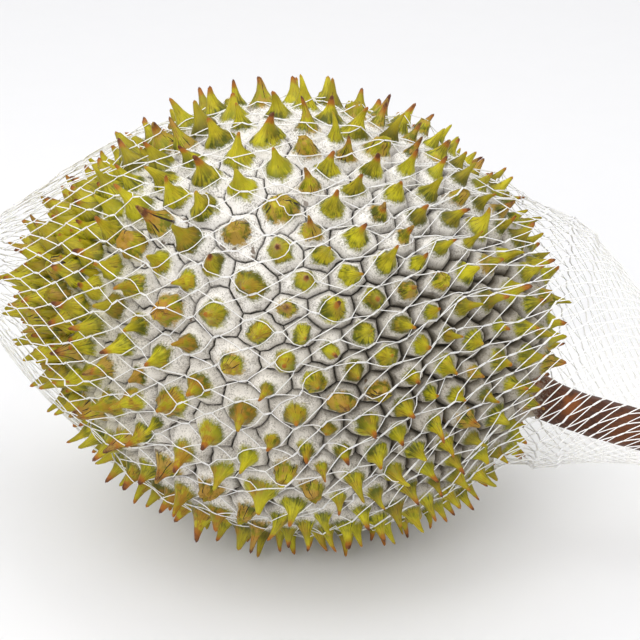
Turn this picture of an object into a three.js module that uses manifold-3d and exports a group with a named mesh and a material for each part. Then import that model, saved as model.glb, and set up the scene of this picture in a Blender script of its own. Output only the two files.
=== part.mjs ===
// A durian lying on its side in a net sleeve. Millimetres, +Z up, stem toward +X.
// The husk is one grown solid: an ovoid covered by cells, each cell rising to one spine.

import * as THREE from 'three';
import { ConvexHull } from 'three/addons/math/ConvexHull.js';
import { mergeVertices } from 'three/addons/utils/BufferGeometryUtils.js';
import Module from 'manifold-3d';

const wasm = await Module();
wasm.setup();

// Husk: an ovoid at the foot of the spines, more pointed toward the blossom end at -X.
const BLOSSOM_REACH = 116;
const STEM_REACH = 110;
const GIRTH_RADIUS = 87;
const BLOSSOM_POWER = 1.8;
const BLOSSOM_TAPER = 0.8;
const STEM_POWER = 2.1;
const STEM_TAPER = 0.53;
const LOBE_COUNT = 5;
const LOBE_DEPTH = 0.009;
const LOBE_TURN = 0.7;
const END_CHANGE = 2.2;
const PITCH = THREE.MathUtils.degToRad(5);

// Cells: their centres are widest apart just short of the girth, and crowd toward both ends.
const SPINE_COUNT = 620;
const WIDEST_SPACING = 19.5;
const CROWDED_SPACING = 11.4;
const WIDEST_AT = -18;
const WIDE_REACH = 56;
const SPACING_SPREAD = 0.13;
const SPIRAL_START = 0.4;

// Spines: height over their cells at the blossom end, the girth and the stem end.
const SPINE_HEIGHT = { blossom: 14.2, girth: 14.2, stem: 10.5 };
const HEIGHT_SPREAD = 0.1;
const SPINE_LEAN = 0.22;
const SPINE_SWAY = 1.3;
const SETTLE_ROUNDS = 40;
const SETTLE_RATE = 0.3;
const SETTLE_REACH = 1.15;

// Rest: the lowest tips are worn flat on the surface that the fruit lies on.
const WORN_DEPTH = 3.4;
const BARELY_WORN = 0.9;
const SPARED_HEIGHT = 0.2;
const FLOOR_BLOCK = 400;

// Stem: a cut stalk that leaves the husk low on its blunt end, out of a bare round cell.
const STEM_DROP = THREE.MathUtils.degToRad(9);
const STEM_CELL_SPACING = 33;
const STEM_LENGTH = 106;
const STEM_FLARE_RADIUS = 12;
const STEM_NECK_RADIUS = 8.1;
const STEM_END_RADIUS = 8.9;
const STEM_FLARE_FADE = 3.6;
const STEM_BEND_AT = 0.4;
const STEM_RING_CROWDING = 1.7;
const STEM_END_SLOPE = THREE.MathUtils.degToRad(-3);
const STEM_SIDES = 16;
const STEM_RINGS = 14;
const JOINT_GAP = 0.3;

// Net sleeve: a diamond lattice over the spine tips, knotted past the blossom end and
// gathered in a collar round the stem.
const NET_COLUMNS = 20;
const NET_ROWS_ON_FRUIT = 19;
const NET_ROWS_ON_TAIL = 5;
const NET_CLEARANCE = 2.5;
const STRAND_DEPTH = 1.2;
const STRAND_WIDTH = 1.6;
const NET_BLOSSOM_ANGLE = THREE.MathUtils.degToRad(168);
const NET_STEM_ANGLE = THREE.MathUtils.degToRad(42);
const KNOT_REACH = 22;
const KNOT_RADIUS = 7.5;
const KNOT_BULGE = 5;
const KNOT_SLANT = 0.4;
const COLLAR_ALONG_STEM = 0.9;
const COLLAR_RADIUS = 12.6;
const TAIL_ROW_CROWDING = 0.85;
const SHARPEST_CORNER = -0.6;
const STRAND_FLOOR_GAP = 0.35;
const STRAND_SIDE_GAP = 1.4;
const SPINE_FLANK = 0.72;
const CLEARING_ROUNDS = 6;

const HUSK_COLOUR = 0x96915c;
const STEM_COLOUR = 0x70452f;
const NET_COLOUR = 0xf1f1ee;

const GOLDEN_ANGLE = Math.PI * (3 - Math.sqrt(5));
const DOWN = new THREE.Vector3(0, 0, -1);

// A repeatable number from 0 to 1 for item n of a numbered series.
function scatter(n, series) {
  const value = Math.sin(n * 127.1 + series * 311.7) * 43758.5453;
  return value - Math.floor(value);
}

// A direction from the fruit's middle: angle 0 points at the stem end, turn goes round the fruit.
function directionAt(angle, turn) {
  const ring = Math.sin(angle);
  return new THREE.Vector3(Math.cos(angle), ring * Math.cos(turn), ring * Math.sin(turn));
}

// Height of the spines at x along the fruit.
function spineHeight(x) {
  const share = x < 0 ? -x / BLOSSOM_REACH : x / STEM_REACH;
  const end = x < 0 ? SPINE_HEIGHT.blossom : SPINE_HEIGHT.stem;
  return THREE.MathUtils.lerp(SPINE_HEIGHT.girth, end, Math.min(share, 1) ** END_CHANGE);
}

// Spacing that cell n wants from its neighbours at x along the fruit.
function cellSpacing(n, x) {
  const wide = Math.exp(-(((x - WIDEST_AT) / WIDE_REACH) ** 2));
  const own = 1 + SPACING_SPREAD * (2 * scatter(n, 5) - 1);
  return own * THREE.MathUtils.lerp(CROWDED_SPACING, WIDEST_SPACING, wide);
}

// Radius of the ovoid at x, with every side moved out by grow.
function girthAt(x, grow) {
  const share = x < 0 ? -x / (BLOSSOM_REACH + grow) : x / (STEM_REACH + grow);
  const power = x < 0 ? BLOSSOM_POWER : STEM_POWER;
  const taper = x < 0 ? BLOSSOM_TAPER : STEM_TAPER;
  return share >= 1 ? 0 : (GIRTH_RADIUS + grow) * (1 - share ** power) ** taper;
}

// The faint lobes that the chambers of the fruit raise in the ovoid.
function lobe(direction) {
  const turn = Math.atan2(direction.z, direction.y);
  const fade = 1 - direction.x * direction.x;
  return 1 + LOBE_DEPTH * fade * Math.cos(LOBE_COUNT * turn + LOBE_TURN);
}

// The point of the ovoid in a direction from its middle, found by halving.
function ovoidPoint(direction, grow = 0, lobed = true) {
  let near = 0;
  let far = 2 * BLOSSOM_REACH;
  for (let i = 0; i < 40; i += 1) {
    const middle = (near + far) / 2;
    const inside = middle * Math.hypot(direction.y, direction.z) < girthAt(middle * direction.x, grow);
    near = inside ? middle : near;
    far = inside ? far : middle;
  }
  return direction.clone().multiplyScalar(near * (lobed ? lobe(direction) : 1));
}

// The outward normal of the ovoid in a direction from its middle.
function ovoidNormal(direction, grow = 0) {
  const side = Math.abs(direction.z) > 0.9 ? new THREE.Vector3(0, 1, 0) : new THREE.Vector3(0, 0, 1);
  const across = new THREE.Vector3().crossVectors(side, direction).normalize();
  const upward = new THREE.Vector3().crossVectors(direction, across);
  const beside = (axis, step) => ovoidPoint(direction.clone().addScaledVector(axis, step).normalize(), grow);
  const first = beside(across, 0.02).sub(beside(across, -0.02));
  const second = beside(upward, 0.02).sub(beside(upward, -0.02));
  return first.cross(second).normalize();
}

// Pushes crowded cell centres apart over the ovoid, once. The bare cell, the first, stays put.
function settle(directions) {
  const points = directions.map((direction) => ovoidPoint(direction, 0, false));
  const spacing = points.map((point, i) => (i === 0 ? STEM_CELL_SPACING : cellSpacing(i, point.x)));
  const moves = points.map(() => new THREE.Vector3());
  for (let i = 0; i < points.length; i += 1) {
    for (let j = i + 1; j < points.length; j += 1) {
      const wanted = (SETTLE_REACH * (spacing[i] + spacing[j])) / 2;
      const distance = points[i].distanceTo(points[j]);
      if (distance < wanted) {
        const push = points[i].clone().sub(points[j]);
        push.multiplyScalar((SETTLE_RATE * (wanted - distance)) / distance);
        moves[i].add(push);
        moves[j].sub(push);
      }
    }
  }
  for (let i = 1; i < points.length; i += 1) {
    directions[i].copy(points[i].add(moves[i])).normalize();
  }
}

// Directions of the cell centres: a spiral over the ovoid, settled to the wanted spacing.
function cellDirections() {
  const directions = [directionAt(STEM_DROP, -Math.PI / 2)];
  for (let i = 1; i < SPINE_COUNT; i += 1) {
    const turn = SPIRAL_START + i * GOLDEN_ANGLE;
    directions.push(directionAt(Math.acos(1 - (2 * i) / SPINE_COUNT), turn));
  }
  for (let round = 0; round < SETTLE_ROUNDS; round += 1) {
    settle(directions);
  }
  return directions;
}

// The cells of the husk. Neighbours meet three by three at corners in the valleys between spines.
function huskCells() {
  const directions = cellDirections();
  const flat = directions.map((direction) => ovoidPoint(direction, 0, false));
  const cells = directions.map((direction) => ({
    direction,
    centre: ovoidPoint(direction),
    normal: ovoidNormal(direction),
    corners: [],
  }));
  const cellOf = new Map(flat.map((point, i) => [point, cells[i]]));
  for (const face of new ConvexHull().setFromPoints(flat).faces) {
    const ends = [face.edge, face.edge.next, face.edge.prev].map((edge) => edge.head().point);
    const middle = ends[0].clone().add(ends[1]).add(ends[2]).normalize();
    const corner = ovoidPoint(middle);
    ends.forEach((end) => cellOf.get(end).corners.push(corner));
  }
  cells.forEach(orderCorners);
  cells.slice(1).forEach(raiseSpine);
  flattenStemCell(cells[0]);
  return cells;
}

// Puts the corners of a cell in order round its normal.
function orderCorners(cell) {
  const first = cell.corners[0].clone().sub(cell.centre).projectOnPlane(cell.normal).normalize();
  const second = new THREE.Vector3().crossVectors(cell.normal, first);
  const turn = (corner) => {
    const arm = corner.clone().sub(cell.centre);
    return Math.atan2(arm.dot(second), arm.dot(first));
  };
  cell.corners.sort((a, b) => turn(a) - turn(b));
}

// Sets the tip of the spine on a cell, leaning a little away from the fruit's middle.
function raiseSpine(cell, index) {
  const height = spineHeight(cell.centre.x) * (1 + HEIGHT_SPREAD * (2 * scatter(index, 1) - 1));
  const lean = cell.normal.clone().lerp(cell.direction, SPINE_LEAN).normalize();
  const sway = new THREE.Vector3(scatter(index, 2), scatter(index, 3), scatter(index, 4)).subScalar(0.5);
  cell.tip = cell.centre.clone()
    .addScaledVector(lean, height)
    .addScaledVector(sway.projectOnPlane(cell.normal), 2 * SPINE_SWAY);
}

// Makes the bare cell flat, so that the stem can stand on it.
function flattenStemCell(cell) {
  const level = Math.min(...cell.corners.map((corner) => corner.clone().sub(cell.centre).dot(cell.normal)));
  cell.centre.addScaledVector(cell.normal, level);
  cell.corners.forEach((corner) => {
    const rise = corner.clone().sub(cell.centre).dot(cell.normal);
    corner.addScaledVector(cell.normal, -rise);
  });
  cell.tip = cell.centre.clone();
}

// Moves the fruit from its own axis to where it lies: pitched, its worn tips on z = 0.
function standingTransform(cells) {
  const pitched = new THREE.Matrix4().makeRotationY(PITCH);
  const lowest = Math.min(...cells.map((cell) => cell.tip.clone().applyMatrix4(pitched).z));
  return pitched.premultiply(new THREE.Matrix4().makeTranslation(0, 0, -lowest - WORN_DEPTH));
}

// Lays the cells down: every point and normal goes through the standing transform.
function standCells(cells, standing) {
  const corners = new Set(cells.flatMap((cell) => cell.corners));
  corners.forEach((corner) => corner.applyMatrix4(standing));
  cells.forEach((cell) => {
    cell.centre.applyMatrix4(standing);
    cell.tip.applyMatrix4(standing);
    cell.normal.transformDirection(standing);
  });
}

// A closed manifold solid from an indexed or soup geometry.
function solidOf(geometry) {
  const bare = geometry.clone();
  bare.deleteAttribute('normal');
  bare.deleteAttribute('uv');
  const merged = mergeVertices(bare, 1e-4);
  return new wasm.Manifold(new wasm.Mesh({
    numProp: 3,
    vertProperties: merged.attributes.position.array,
    triVerts: new Uint32Array(merged.index.array),
  }));
}

// A geometry from a manifold solid.
function geometryOf(solid) {
  const mesh = solid.getMesh();
  const geometry = new THREE.BufferGeometry();
  geometry.setAttribute('position', new THREE.BufferAttribute(mesh.vertProperties, 3));
  geometry.setIndex(new THREE.BufferAttribute(mesh.triVerts, 1));
  return geometry;
}

// A geometry from a list of triangles, three points each.
function soup(triangles) {
  const geometry = new THREE.BufferGeometry();
  geometry.setFromPoints(triangles.flat());
  return geometry;
}

// The husk: a fan of faces from each cell's corners to its tip, cut flat where it lies.
function huskGeometry(cells) {
  const triangles = cells.flatMap((cell) => cell.corners.map((corner, i) => {
    const next = cell.corners[(i + 1) % cell.corners.length];
    return [cell.tip, corner, next];
  }));
  const block = new THREE.BoxGeometry(FLOOR_BLOCK, FLOOR_BLOCK, FLOOR_BLOCK);
  block.translate(0, 0, -FLOOR_BLOCK / 2);
  return geometryOf(solidOf(soup(triangles)).subtract(solidOf(block)));
}

// The line of the stem, square to its cell at the foot and nearly level at the cut end.
function stemLine(cell) {
  const foot = cell.centre.clone().addScaledVector(cell.normal, JOINT_GAP);
  const bend = foot.clone().addScaledVector(cell.normal, STEM_LENGTH * STEM_BEND_AT);
  const outward = new THREE.Vector3(Math.cos(STEM_END_SLOPE), 0, Math.sin(STEM_END_SLOPE));
  const end = bend.clone().addScaledVector(outward, STEM_LENGTH * (1 - STEM_BEND_AT));
  return new THREE.QuadraticBezierCurve3(foot, bend, end);
}

// Radius of the stem at a share of its length: a flared foot, a neck, a slightly thicker end.
function stemRadius(share) {
  const flare = Math.exp((-share * STEM_LENGTH) / STEM_FLARE_FADE);
  const shaft = THREE.MathUtils.lerp(STEM_NECK_RADIUS, STEM_END_RADIUS, share);
  return shaft + (STEM_FLARE_RADIUS - STEM_NECK_RADIUS) * flare;
}

// A level pair of axes across a direction that runs more or less along X.
function crossAxes(direction) {
  const sideways = new THREE.Vector3(0, 1, 0).projectOnPlane(direction).normalize();
  return [sideways, new THREE.Vector3().crossVectors(direction, sideways)];
}

// A ring of points round a place on the stem's line.
function ringAt(centre, direction, radius, count, offset = 0) {
  const [first, second] = crossAxes(direction);
  return Array.from({ length: count }, (_, i) => {
    const turn = ((i + offset) * 2 * Math.PI) / count;
    return centre.clone()
      .addScaledVector(first, radius * Math.cos(turn))
      .addScaledVector(second, radius * Math.sin(turn));
  });
}

// The stem: rings along its line, closer at the flared foot, with a flat disc at each end.
function stemGeometry(line) {
  const shares = Array.from({ length: STEM_RINGS }, (_, i) => (
    (i / (STEM_RINGS - 1)) ** STEM_RING_CROWDING
  ));
  const rings = shares.map((share) => (
    ringAt(line.getPointAt(share), line.getTangentAt(share), stemRadius(share), STEM_SIDES)
  ));
  const triangles = [];
  for (let r = 0; r + 1 < rings.length; r += 1) {
    for (let i = 0; i < STEM_SIDES; i += 1) {
      const next = (i + 1) % STEM_SIDES;
      triangles.push([rings[r][i], rings[r][next], rings[r + 1][next]]);
      triangles.push([rings[r][i], rings[r + 1][next], rings[r + 1][i]]);
    }
  }
  const last = rings[rings.length - 1];
  for (let i = 0; i < STEM_SIDES; i += 1) {
    const next = (i + 1) % STEM_SIDES;
    triangles.push([line.getPointAt(0), rings[0][next], rings[0][i]]);
    triangles.push([line.getPointAt(1), last[i], last[next]]);
  }
  return geometryOf(solidOf(soup(triangles)));
}

// Angles of the net's rows over the fruit, equally spaced along its outline.
function netRowAngles() {
  const steps = 400;
  const angles = Array.from({ length: steps + 1 }, (_, i) => (
    THREE.MathUtils.lerp(NET_BLOSSOM_ANGLE, NET_STEM_ANGLE, i / steps)
  ));
  const outline = angles.map((angle) => ovoidPoint(directionAt(angle, 0), SPINE_HEIGHT.girth));
  const lengths = [0];
  for (let i = 1; i <= steps; i += 1) {
    lengths.push(lengths[i - 1] + outline[i].distanceTo(outline[i - 1]));
  }
  return Array.from({ length: NET_ROWS_ON_FRUIT }, (_, row) => {
    const wanted = (lengths[steps] * row) / (NET_ROWS_ON_FRUIT - 1);
    return angles[lengths.findIndex((length) => length >= wanted - 1e-9)];
  });
}

// A knot of the net just outside the spine tips, kept off the floor.
function netNodeOnFruit(angle, turn, standing) {
  const direction = directionAt(angle, turn);
  const height = spineHeight(ovoidPoint(direction).x) * (1 + HEIGHT_SPREAD);
  const outside = height + NET_CLEARANCE + STRAND_DEPTH;
  const point = ovoidPoint(direction, outside).applyMatrix4(standing);
  const normal = ovoidNormal(direction, outside).transformDirection(standing);
  const low = point.z < STRAND_FLOOR_GAP;
  if (low) {
    point.z = STRAND_FLOOR_GAP;
    normal.copy(DOWN);
  }
  return { point, normal, low };
}

// The nodes of the net, row by row from the knot to the collar. Odd rows are turned half a cell.
function netRows(standing, line) {
  const offset = (row) => (row % 2) / 2;
  const turnOf = (row, i) => ((i + offset(row)) * 2 * Math.PI) / NET_COLUMNS;
  const columns = Array.from({ length: NET_COLUMNS }, (_, i) => i);
  const rows = [];

  const knotX = -(BLOSSOM_REACH + SPINE_HEIGHT.blossom + KNOT_REACH);
  const blossomward = new THREE.Vector3(-1, 0, 0);
  rows.push(columns.map((i) => {
    const spoke = directionAt(Math.PI / 2, turnOf(0, i));
    const point = spoke.clone().multiplyScalar(KNOT_RADIUS).setX(knotX);
    const normal = spoke.lerp(blossomward, KNOT_SLANT).normalize();
    return { point: point.applyMatrix4(standing), normal: normal.transformDirection(standing) };
  }));

  for (const angle of netRowAngles()) {
    const row = rows.length;
    rows.push(columns.map((i) => netNodeOnFruit(angle, turnOf(row, i), standing)));
  }

  const collarDirection = line.getTangentAt(COLLAR_ALONG_STEM);
  const collarCentre = line.getPointAt(COLLAR_ALONG_STEM);
  for (let step = 1; step <= NET_ROWS_ON_TAIL; step += 1) {
    const row = rows.length;
    const share = step / NET_ROWS_ON_TAIL;
    const collar = ringAt(collarCentre, collarDirection, COLLAR_RADIUS, NET_COLUMNS, offset(row));
    rows.push(columns.map((i) => {
      const leaving = netNodeOnFruit(NET_STEM_ANGLE, turnOf(row, i), standing);
      const spoke = collar[i].clone().sub(collarCentre).normalize();
      return {
        point: leaving.point.clone().lerp(collar[i], share ** TAIL_ROW_CROWDING),
        normal: leaving.normal.clone().lerp(spoke, share).normalize(),
      };
    }));
  }
  return rows;
}

// The openings between the strands, as rings of nodes: diamonds, with triangles at both end rows.
function netCells(rows) {
  const node = (row, i) => rows[row][(i + NET_COLUMNS) % NET_COLUMNS];
  const before = (row, i) => (row % 2 ? i : i - 1);
  const cells = [];
  const last = rows.length - 1;
  for (let i = 0; i < NET_COLUMNS; i += 1) {
    cells.push([node(0, i), node(1, before(0, i) + 1), node(0, i + 1)]);
    cells.push([node(last, i), node(last, i + 1), node(last - 1, before(last, i) + 1)]);
    for (let row = 0; row + 2 <= last; row += 1) {
      cells.push([
        node(row, i),
        node(row + 1, before(row, i)),
        node(row + 2, i),
        node(row + 1, before(row, i) + 1),
      ]);
    }
  }
  return cells;
}

// The outward area vector of a ring of nodes.
function areaVector(ring) {
  const sum = new THREE.Vector3();
  ring.forEach((node, i) => {
    sum.add(node.point.clone().cross(ring[(i + 1) % ring.length].point));
  });
  return sum;
}

// Turns a ring of nodes to run counterclockwise when seen from outside.
function facingOut(ring) {
  const outward = ring.reduce((sum, node) => sum.add(node.normal), new THREE.Vector3());
  return areaVector(ring).dot(outward) < 0 ? [...ring].reverse() : ring;
}

// The edge of the strands at one corner of an opening: half a strand in from both its sides.
function openingCorner(ring, i) {
  const node = ring[i];
  const before = ring[(i + ring.length - 1) % ring.length];
  const after = ring[(i + 1) % ring.length];
  const inward = (from, to) => {
    const side = to.point.clone().sub(from.point).projectOnPlane(node.normal).normalize();
    return new THREE.Vector3().crossVectors(node.normal, side);
  };
  const first = inward(before, node);
  const second = inward(node, after);
  const mitre = first.clone().add(second).divideScalar(1 + Math.max(first.dot(second), SHARPEST_CORNER));
  const corner = node.point.clone().addScaledVector(mitre, STRAND_WIDTH / 2);
  corner.z = Math.max(corner.z, STRAND_FLOOR_GAP / 2);
  return corner;
}

// The strand faces round one opening: sloping walls from its outer corners to the inner ridges.
function openingWalls(ring, outer, inner) {
  return ring.flatMap((node, i) => {
    const next = (i + 1) % ring.length;
    return [
      [inner.get(node), outer[i], outer[next]],
      [inner.get(node), outer[next], inner.get(ring[next])],
    ];
  });
}

// The knot: a button that fills the ring of nodes past the blossom end.
function knotFaces(ring, outer, inner, outward) {
  const middle = new THREE.Vector3();
  ring.forEach((node) => middle.addScaledVector(node.point, 1 / ring.length));
  const crown = middle.clone().addScaledVector(outward, KNOT_BULGE);
  const hollow = middle.clone().addScaledVector(outward, -2 * STRAND_DEPTH);
  return ring.flatMap((node, i) => {
    const next = (i + 1) % ring.length;
    return [
      [crown, outer[i], outer[next]],
      [hollow, inner.get(ring[next]), inner.get(node)],
    ];
  });
}

// The net: strands with a flat outer face and a ridge on the inside, between open cells.
function netGeometry(rows, standing) {
  const nodes = rows.flat();
  const inner = new Map(nodes.map((node) => [
    node,
    node.point.clone().addScaledVector(node.normal, -STRAND_DEPTH),
  ]));
  const outward = new THREE.Vector3(-1, 0, 0).transformDirection(standing);
  const knotRing = [...rows[0]].reverse();
  const collarRing = rows[rows.length - 1];
  const rings = [...netCells(rows).map(facingOut), knotRing, collarRing];
  const cornersAt = new Map(nodes.map((node) => [node, []]));
  const leftEdge = new Map(nodes.map((node) => [node, new Map()]));
  const triangles = [];

  for (const ring of rings) {
    const outer = ring.map((_, i) => openingCorner(ring, i));
    ring.forEach((node, i) => {
      const next = (i + 1) % ring.length;
      cornersAt.get(node).push(outer[i]);
      leftEdge.get(node).set(ring[next], [outer[i], outer[next]]);
    });
    const faces = ring === knotRing
      ? knotFaces(ring, outer, inner, outward)
      : openingWalls(ring, outer, inner);
    triangles.push(...faces);
  }

  // The flat outer face of each strand, between the openings on its left and on its right.
  for (const [node, edges] of leftEdge) {
    for (const [next, [left]] of edges) {
      const [rightNext, right] = leftEdge.get(next).get(node);
      triangles.push([right, rightNext, left]);
    }
  }

  // The flat outer face of each knot, between the corners of the openings round it.
  for (const [node, corners] of cornersAt) {
    const cell = { centre: node.point, normal: node.normal, corners };
    orderCorners(cell);
    for (let i = 1; i + 1 < corners.length; i += 1) {
      triangles.push([corners[0], corners[i], corners[i + 1]]);
    }
  }
  return geometryOf(solidOf(soup(triangles)));
}

// Moves the tips that reach down between the lowest strands clear of them.
function clearTips(cells, rows) {
  const strandTop = STRAND_FLOOR_GAP + STRAND_DEPTH;
  const lowCells = netCells(rows).filter((ring) => ring.some((node) => node.low));
  const strands = lowCells.flatMap((ring) => ring.map((node, i) => (
    new THREE.Line3(node.point.clone().setZ(0), ring[(i + 1) % ring.length].point.clone().setZ(0))
  )));
  for (const cell of cells.slice(1)) {
    const depth = strandTop + JOINT_GAP - cell.tip.z;
    const wanted = STRAND_WIDTH / 2 + STRAND_SIDE_GAP + depth * SPINE_FLANK;
    if (depth <= 0) {
      continue;
    }
    for (let round = 0; round < CLEARING_ROUNDS; round += 1) {
      for (const strand of strands) {
        const foot = cell.tip.clone().setZ(0);
        const away = foot.clone().sub(strand.closestPointToPoint(foot, true, new THREE.Vector3()));
        if (away.length() < wanted) {
          cell.tip.addScaledVector(away.normalize(), wanted - away.length());
        }
      }
    }
  }
}

// Lifts the tips that would only just touch the surface, so that they stay whole above it.
function spareTips(cells) {
  cells.filter((cell) => Math.abs(cell.tip.z) < BARELY_WORN).forEach((cell) => {
    cell.tip.z = Math.max(cell.tip.z, SPARED_HEIGHT);
  });
}

// A named mesh of one material.
function piece(name, geometry, colour, roughness) {
  geometry.computeVertexNormals();
  const material = new THREE.MeshStandardMaterial({ color: colour, roughness, metalness: 0 });
  const mesh = new THREE.Mesh(geometry, material);
  mesh.name = name;
  return mesh;
}

const cells = huskCells();
const standing = standingTransform(cells);
standCells(cells, standing);
const line = stemLine(cells[0]);
const rows = netRows(standing, line);
clearTips(cells, rows);
spareTips(cells);

const durian = new THREE.Group();
durian.add(piece('husk', huskGeometry(cells), HUSK_COLOUR, 0.7));
durian.add(piece('stem', stemGeometry(line), STEM_COLOUR, 0.65));
durian.add(piece('net_sleeve', netGeometry(rows, standing), NET_COLOUR, 0.4));

// The origin is the middle of the footprint, on the surface that the fruit lies on.
const extent = new THREE.Box3().setFromObject(durian);
const middle = extent.getCenter(new THREE.Vector3());
durian.position.set(-middle.x, -middle.y, 0);

export default durian;
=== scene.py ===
import math

import bpy
import numpy as np
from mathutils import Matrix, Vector
from mathutils.bvhtree import BVHTree


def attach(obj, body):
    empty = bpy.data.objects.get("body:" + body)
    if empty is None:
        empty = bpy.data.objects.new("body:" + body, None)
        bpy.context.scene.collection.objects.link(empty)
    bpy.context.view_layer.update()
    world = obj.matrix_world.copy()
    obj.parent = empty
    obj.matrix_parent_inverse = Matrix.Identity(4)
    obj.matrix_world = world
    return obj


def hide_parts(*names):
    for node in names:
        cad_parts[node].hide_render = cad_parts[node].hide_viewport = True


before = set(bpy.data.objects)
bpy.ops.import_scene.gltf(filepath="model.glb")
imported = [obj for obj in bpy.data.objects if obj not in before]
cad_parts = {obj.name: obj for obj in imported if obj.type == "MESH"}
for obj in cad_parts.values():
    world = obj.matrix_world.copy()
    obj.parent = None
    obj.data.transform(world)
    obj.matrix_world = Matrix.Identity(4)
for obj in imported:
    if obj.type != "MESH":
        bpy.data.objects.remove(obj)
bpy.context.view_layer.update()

# The durian in its net sleeve, in metres: +Z up, stalk toward +X, resting on z = 0.

MM = 0.001
MOST_TRIANGLES = 200_000
ACROSS_TABLE = np.array([0, 1.0, 0])
UPWARD = np.array([0, 0, 1.0])

# Husk: each cell runs from the crevice round it, over a pale plate, up a green cone to its tip.
SPINE_LIFT = 4 * MM
PLATE_SINK = 1.5 * MM
CREVICE_DEPTH = 1.3 * MM
CREVICE_DEPTHS = (0.7, 1.2)
CORNER_DEPTH = 1.25
CREVICE_STEP = 3.3 * MM
CREVICE_WOBBLE = 0.55 * MM
STRAIGHT_BELOW = 4 * MM
PLAIN_LOOK = {"tone": 0.5, "green": 0.3, "scab": 0}
SHOULDER_INSETS = [0.24 * MM, 0.52 * MM, 1.2 * MM]
SHOULDER_HEIGHTS = [-0.10 * MM, 0.72 * MM, 1.12 * MM]
SHOULDER_KEPT = 0.8
SHOULDER_BUMPS = 0.05 * MM
NARROWEST_SHOULDER = 0.6
PLATE_SHARES = [0.76, 0.635]
PLATE_RISES = [0.15, 0.225]
PLATE_ROUNDNESS = [0.25, 0.75]
PLATE_BUMPS = 0.08 * MM
CONE_SHARES = np.array([0.56, 0.465, 0.335, 0.22, 0.145, 0.08])
CONE_RISES = np.array([0.28, 0.36, 0.465, 0.61, 0.785, 0.95])
CONE_SIDES = 10
CONE_ROUGHNESS = 0.03
BROKEN_SHARES = np.array([0.49, 0.43, 0.37, 0.30, 0.20, 0.10])
BROKEN_RISES = np.array([0.34, 0.45, 0.55, 0.60, 0.57, 0.60])
BROKEN_ROUGHNESS = [0.05, 0.05, 0.12, 0.12, 0.12, 0.12]
BROKEN_DROOP = 0.5 * MM
BROKEN_TOP = 0.55
BROKEN_PART = 0.05
SCARRED_PART = 0.10
BARE_HEIGHT = 1.2  # millimetres
KEELS = (4, 6)
KEEL_DEPTH = 0.10
MOST_OVAL = 0.2
SHORTEST = 0.86
TALLEST = 1.16
LEAN_POWER = 1.35
HOOK = 3.0 * MM
TOPSIDE_GREEN = 0.06
FIBRE_STEP = 10 * MM
OPEN_GAP = 2.0

# How a cell changes along the fruit, which runs from -1 at the blossom end to 1 at the stalk:
# from, to, and the value at each.
LENGTH_ALONG = (-0.8, -0.3, 0.88, 1)
FULLNESS_ALONG = (-0.85, 0.1, 1.22, 1.0)
WEAR_FROM_MIDDLE = (0.55, 0.15, 1.0, 2.2)
GREEN_ALONG = (-0.85, -0.30, -0.03, 0.245)
BOLDNESS_ALONG = (0.0, 0.6, 1.0, 1.6)

# Small spines that crowd the corners near the blossom end
SMALL_SPINE_SPAN = (-0.38, -0.74)
SMALL_SPINE_GAP = 8.5 * MM
SMALL_SPINE_RADII = (2.7 * MM, 3.7 * MM)
SMALL_SPINE_HEIGHTS = (0.52, 0.78)
SMALL_SPINE_SHARES = [1.25, 1.0, 0.72, 0.50, 0.33, 0.20]
SMALL_SPINE_RISES = [0.0, 0.25, 0.42, 0.60, 0.78, 0.95]
SMALL_SPINE_SIDES = 8
SMALL_SPINE_SINK = 3  # millimetres
SMALL_SPINE_GREEN = 0.12

# Stalk
STALK_RINGS = 130
STALK_SIDES = 56
STALK_CUTS = 36
STALK_SINK = 3  # millimetres
STALK_ENDS = 0.8 * MM
STALK_ROUNDING = (1.0, 0.988, 0.93, 1.0)
CUT_SHARES = (0.93, 0.8, 0.62, 0.44, 0.27, 0.12)

# Net sleeve
COLUMNS = 48
ROWS = 33
JOINT = 2.4 * MM
YARN = 0.23 * MM
YARN_SIDES = 4
YARN_SPACING = 0.82
STEPS_BETWEEN = 4
STRAND_SPREAD = 0.03
STANDOFF = 9.5 * MM
BLOSSOM_STANDOFF = 4.5 * MM
BLOSSOM_SLOPES = (math.radians(80), math.radians(40))
PROFILE_STEP = 3  # degrees
PROFILE_TURNS = 24
PROFILE_KEPT = 0.97
TWIST = math.radians(-30)
STALKWARD_TWIST = math.radians(-64)
STALKWARD_SPAN = (0.47, 0.92)
TAIL_TWIST = math.radians(-70)
TAIL_SPAN = (0.72, 1.0)
WAVES = 8
WAVE_SIZE = 0.012
KNOT_REACH = 21 * MM
BUNDLE = 3.3 * MM
COLLAR_AT = 0.86
COLLAR_GAP = 1.2 * MM
TAIL_LIFT = 18 * MM
TAIL_FROM = 55 * MM

# How the net settles
SETTLING_STEPS = 150
SINKING_PART = 0.7
SINK = 0.085 * MM
LEAST_SINK = 0.12
SINKS_BEFORE = (0.125, 0.095)
SINKS_AFTER = (-0.14, -0.12)
SINKS_FULLY_AFTER = (-0.095, -0.03)
STRAIGHTENING = 0.25
PULLING_PASSES = 6
PULL_WHEN_LONG = 0.5
PULL_WHEN_SHORT = 0.12
PULL_SHARED = 1.6
FREE_SPAN = (-0.136, 0.130)
FLOOR_GAP = 0.5 * MM
TOUCHING_GAP = 0.15 * MM
REACH_OF_TOUCH = 3 * MM

# Knot and tie cord
CORD_SIDES = 12
CORD_RADIUS = 0.72 * MM
KNOT_CORD_RADIUS = 1.15 * MM

# Camera and stage
LOOK_AT = Vector((0, 0, 0.095))
CAMERA_AZIMUTH = math.radians(12)
CAMERA_ELEVATION = math.radians(27)
CAMERA_DISTANCE = 0.8
LENS = 106.5
SHIFT = (-0.0376, 0.0074)
FLAT_RINGS = [0.3, 0.6, 1.0, 1.6, 2.4, 3.4]
BACKDROP_RISE = 1.6
STAGE_SIDES = 72

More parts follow.
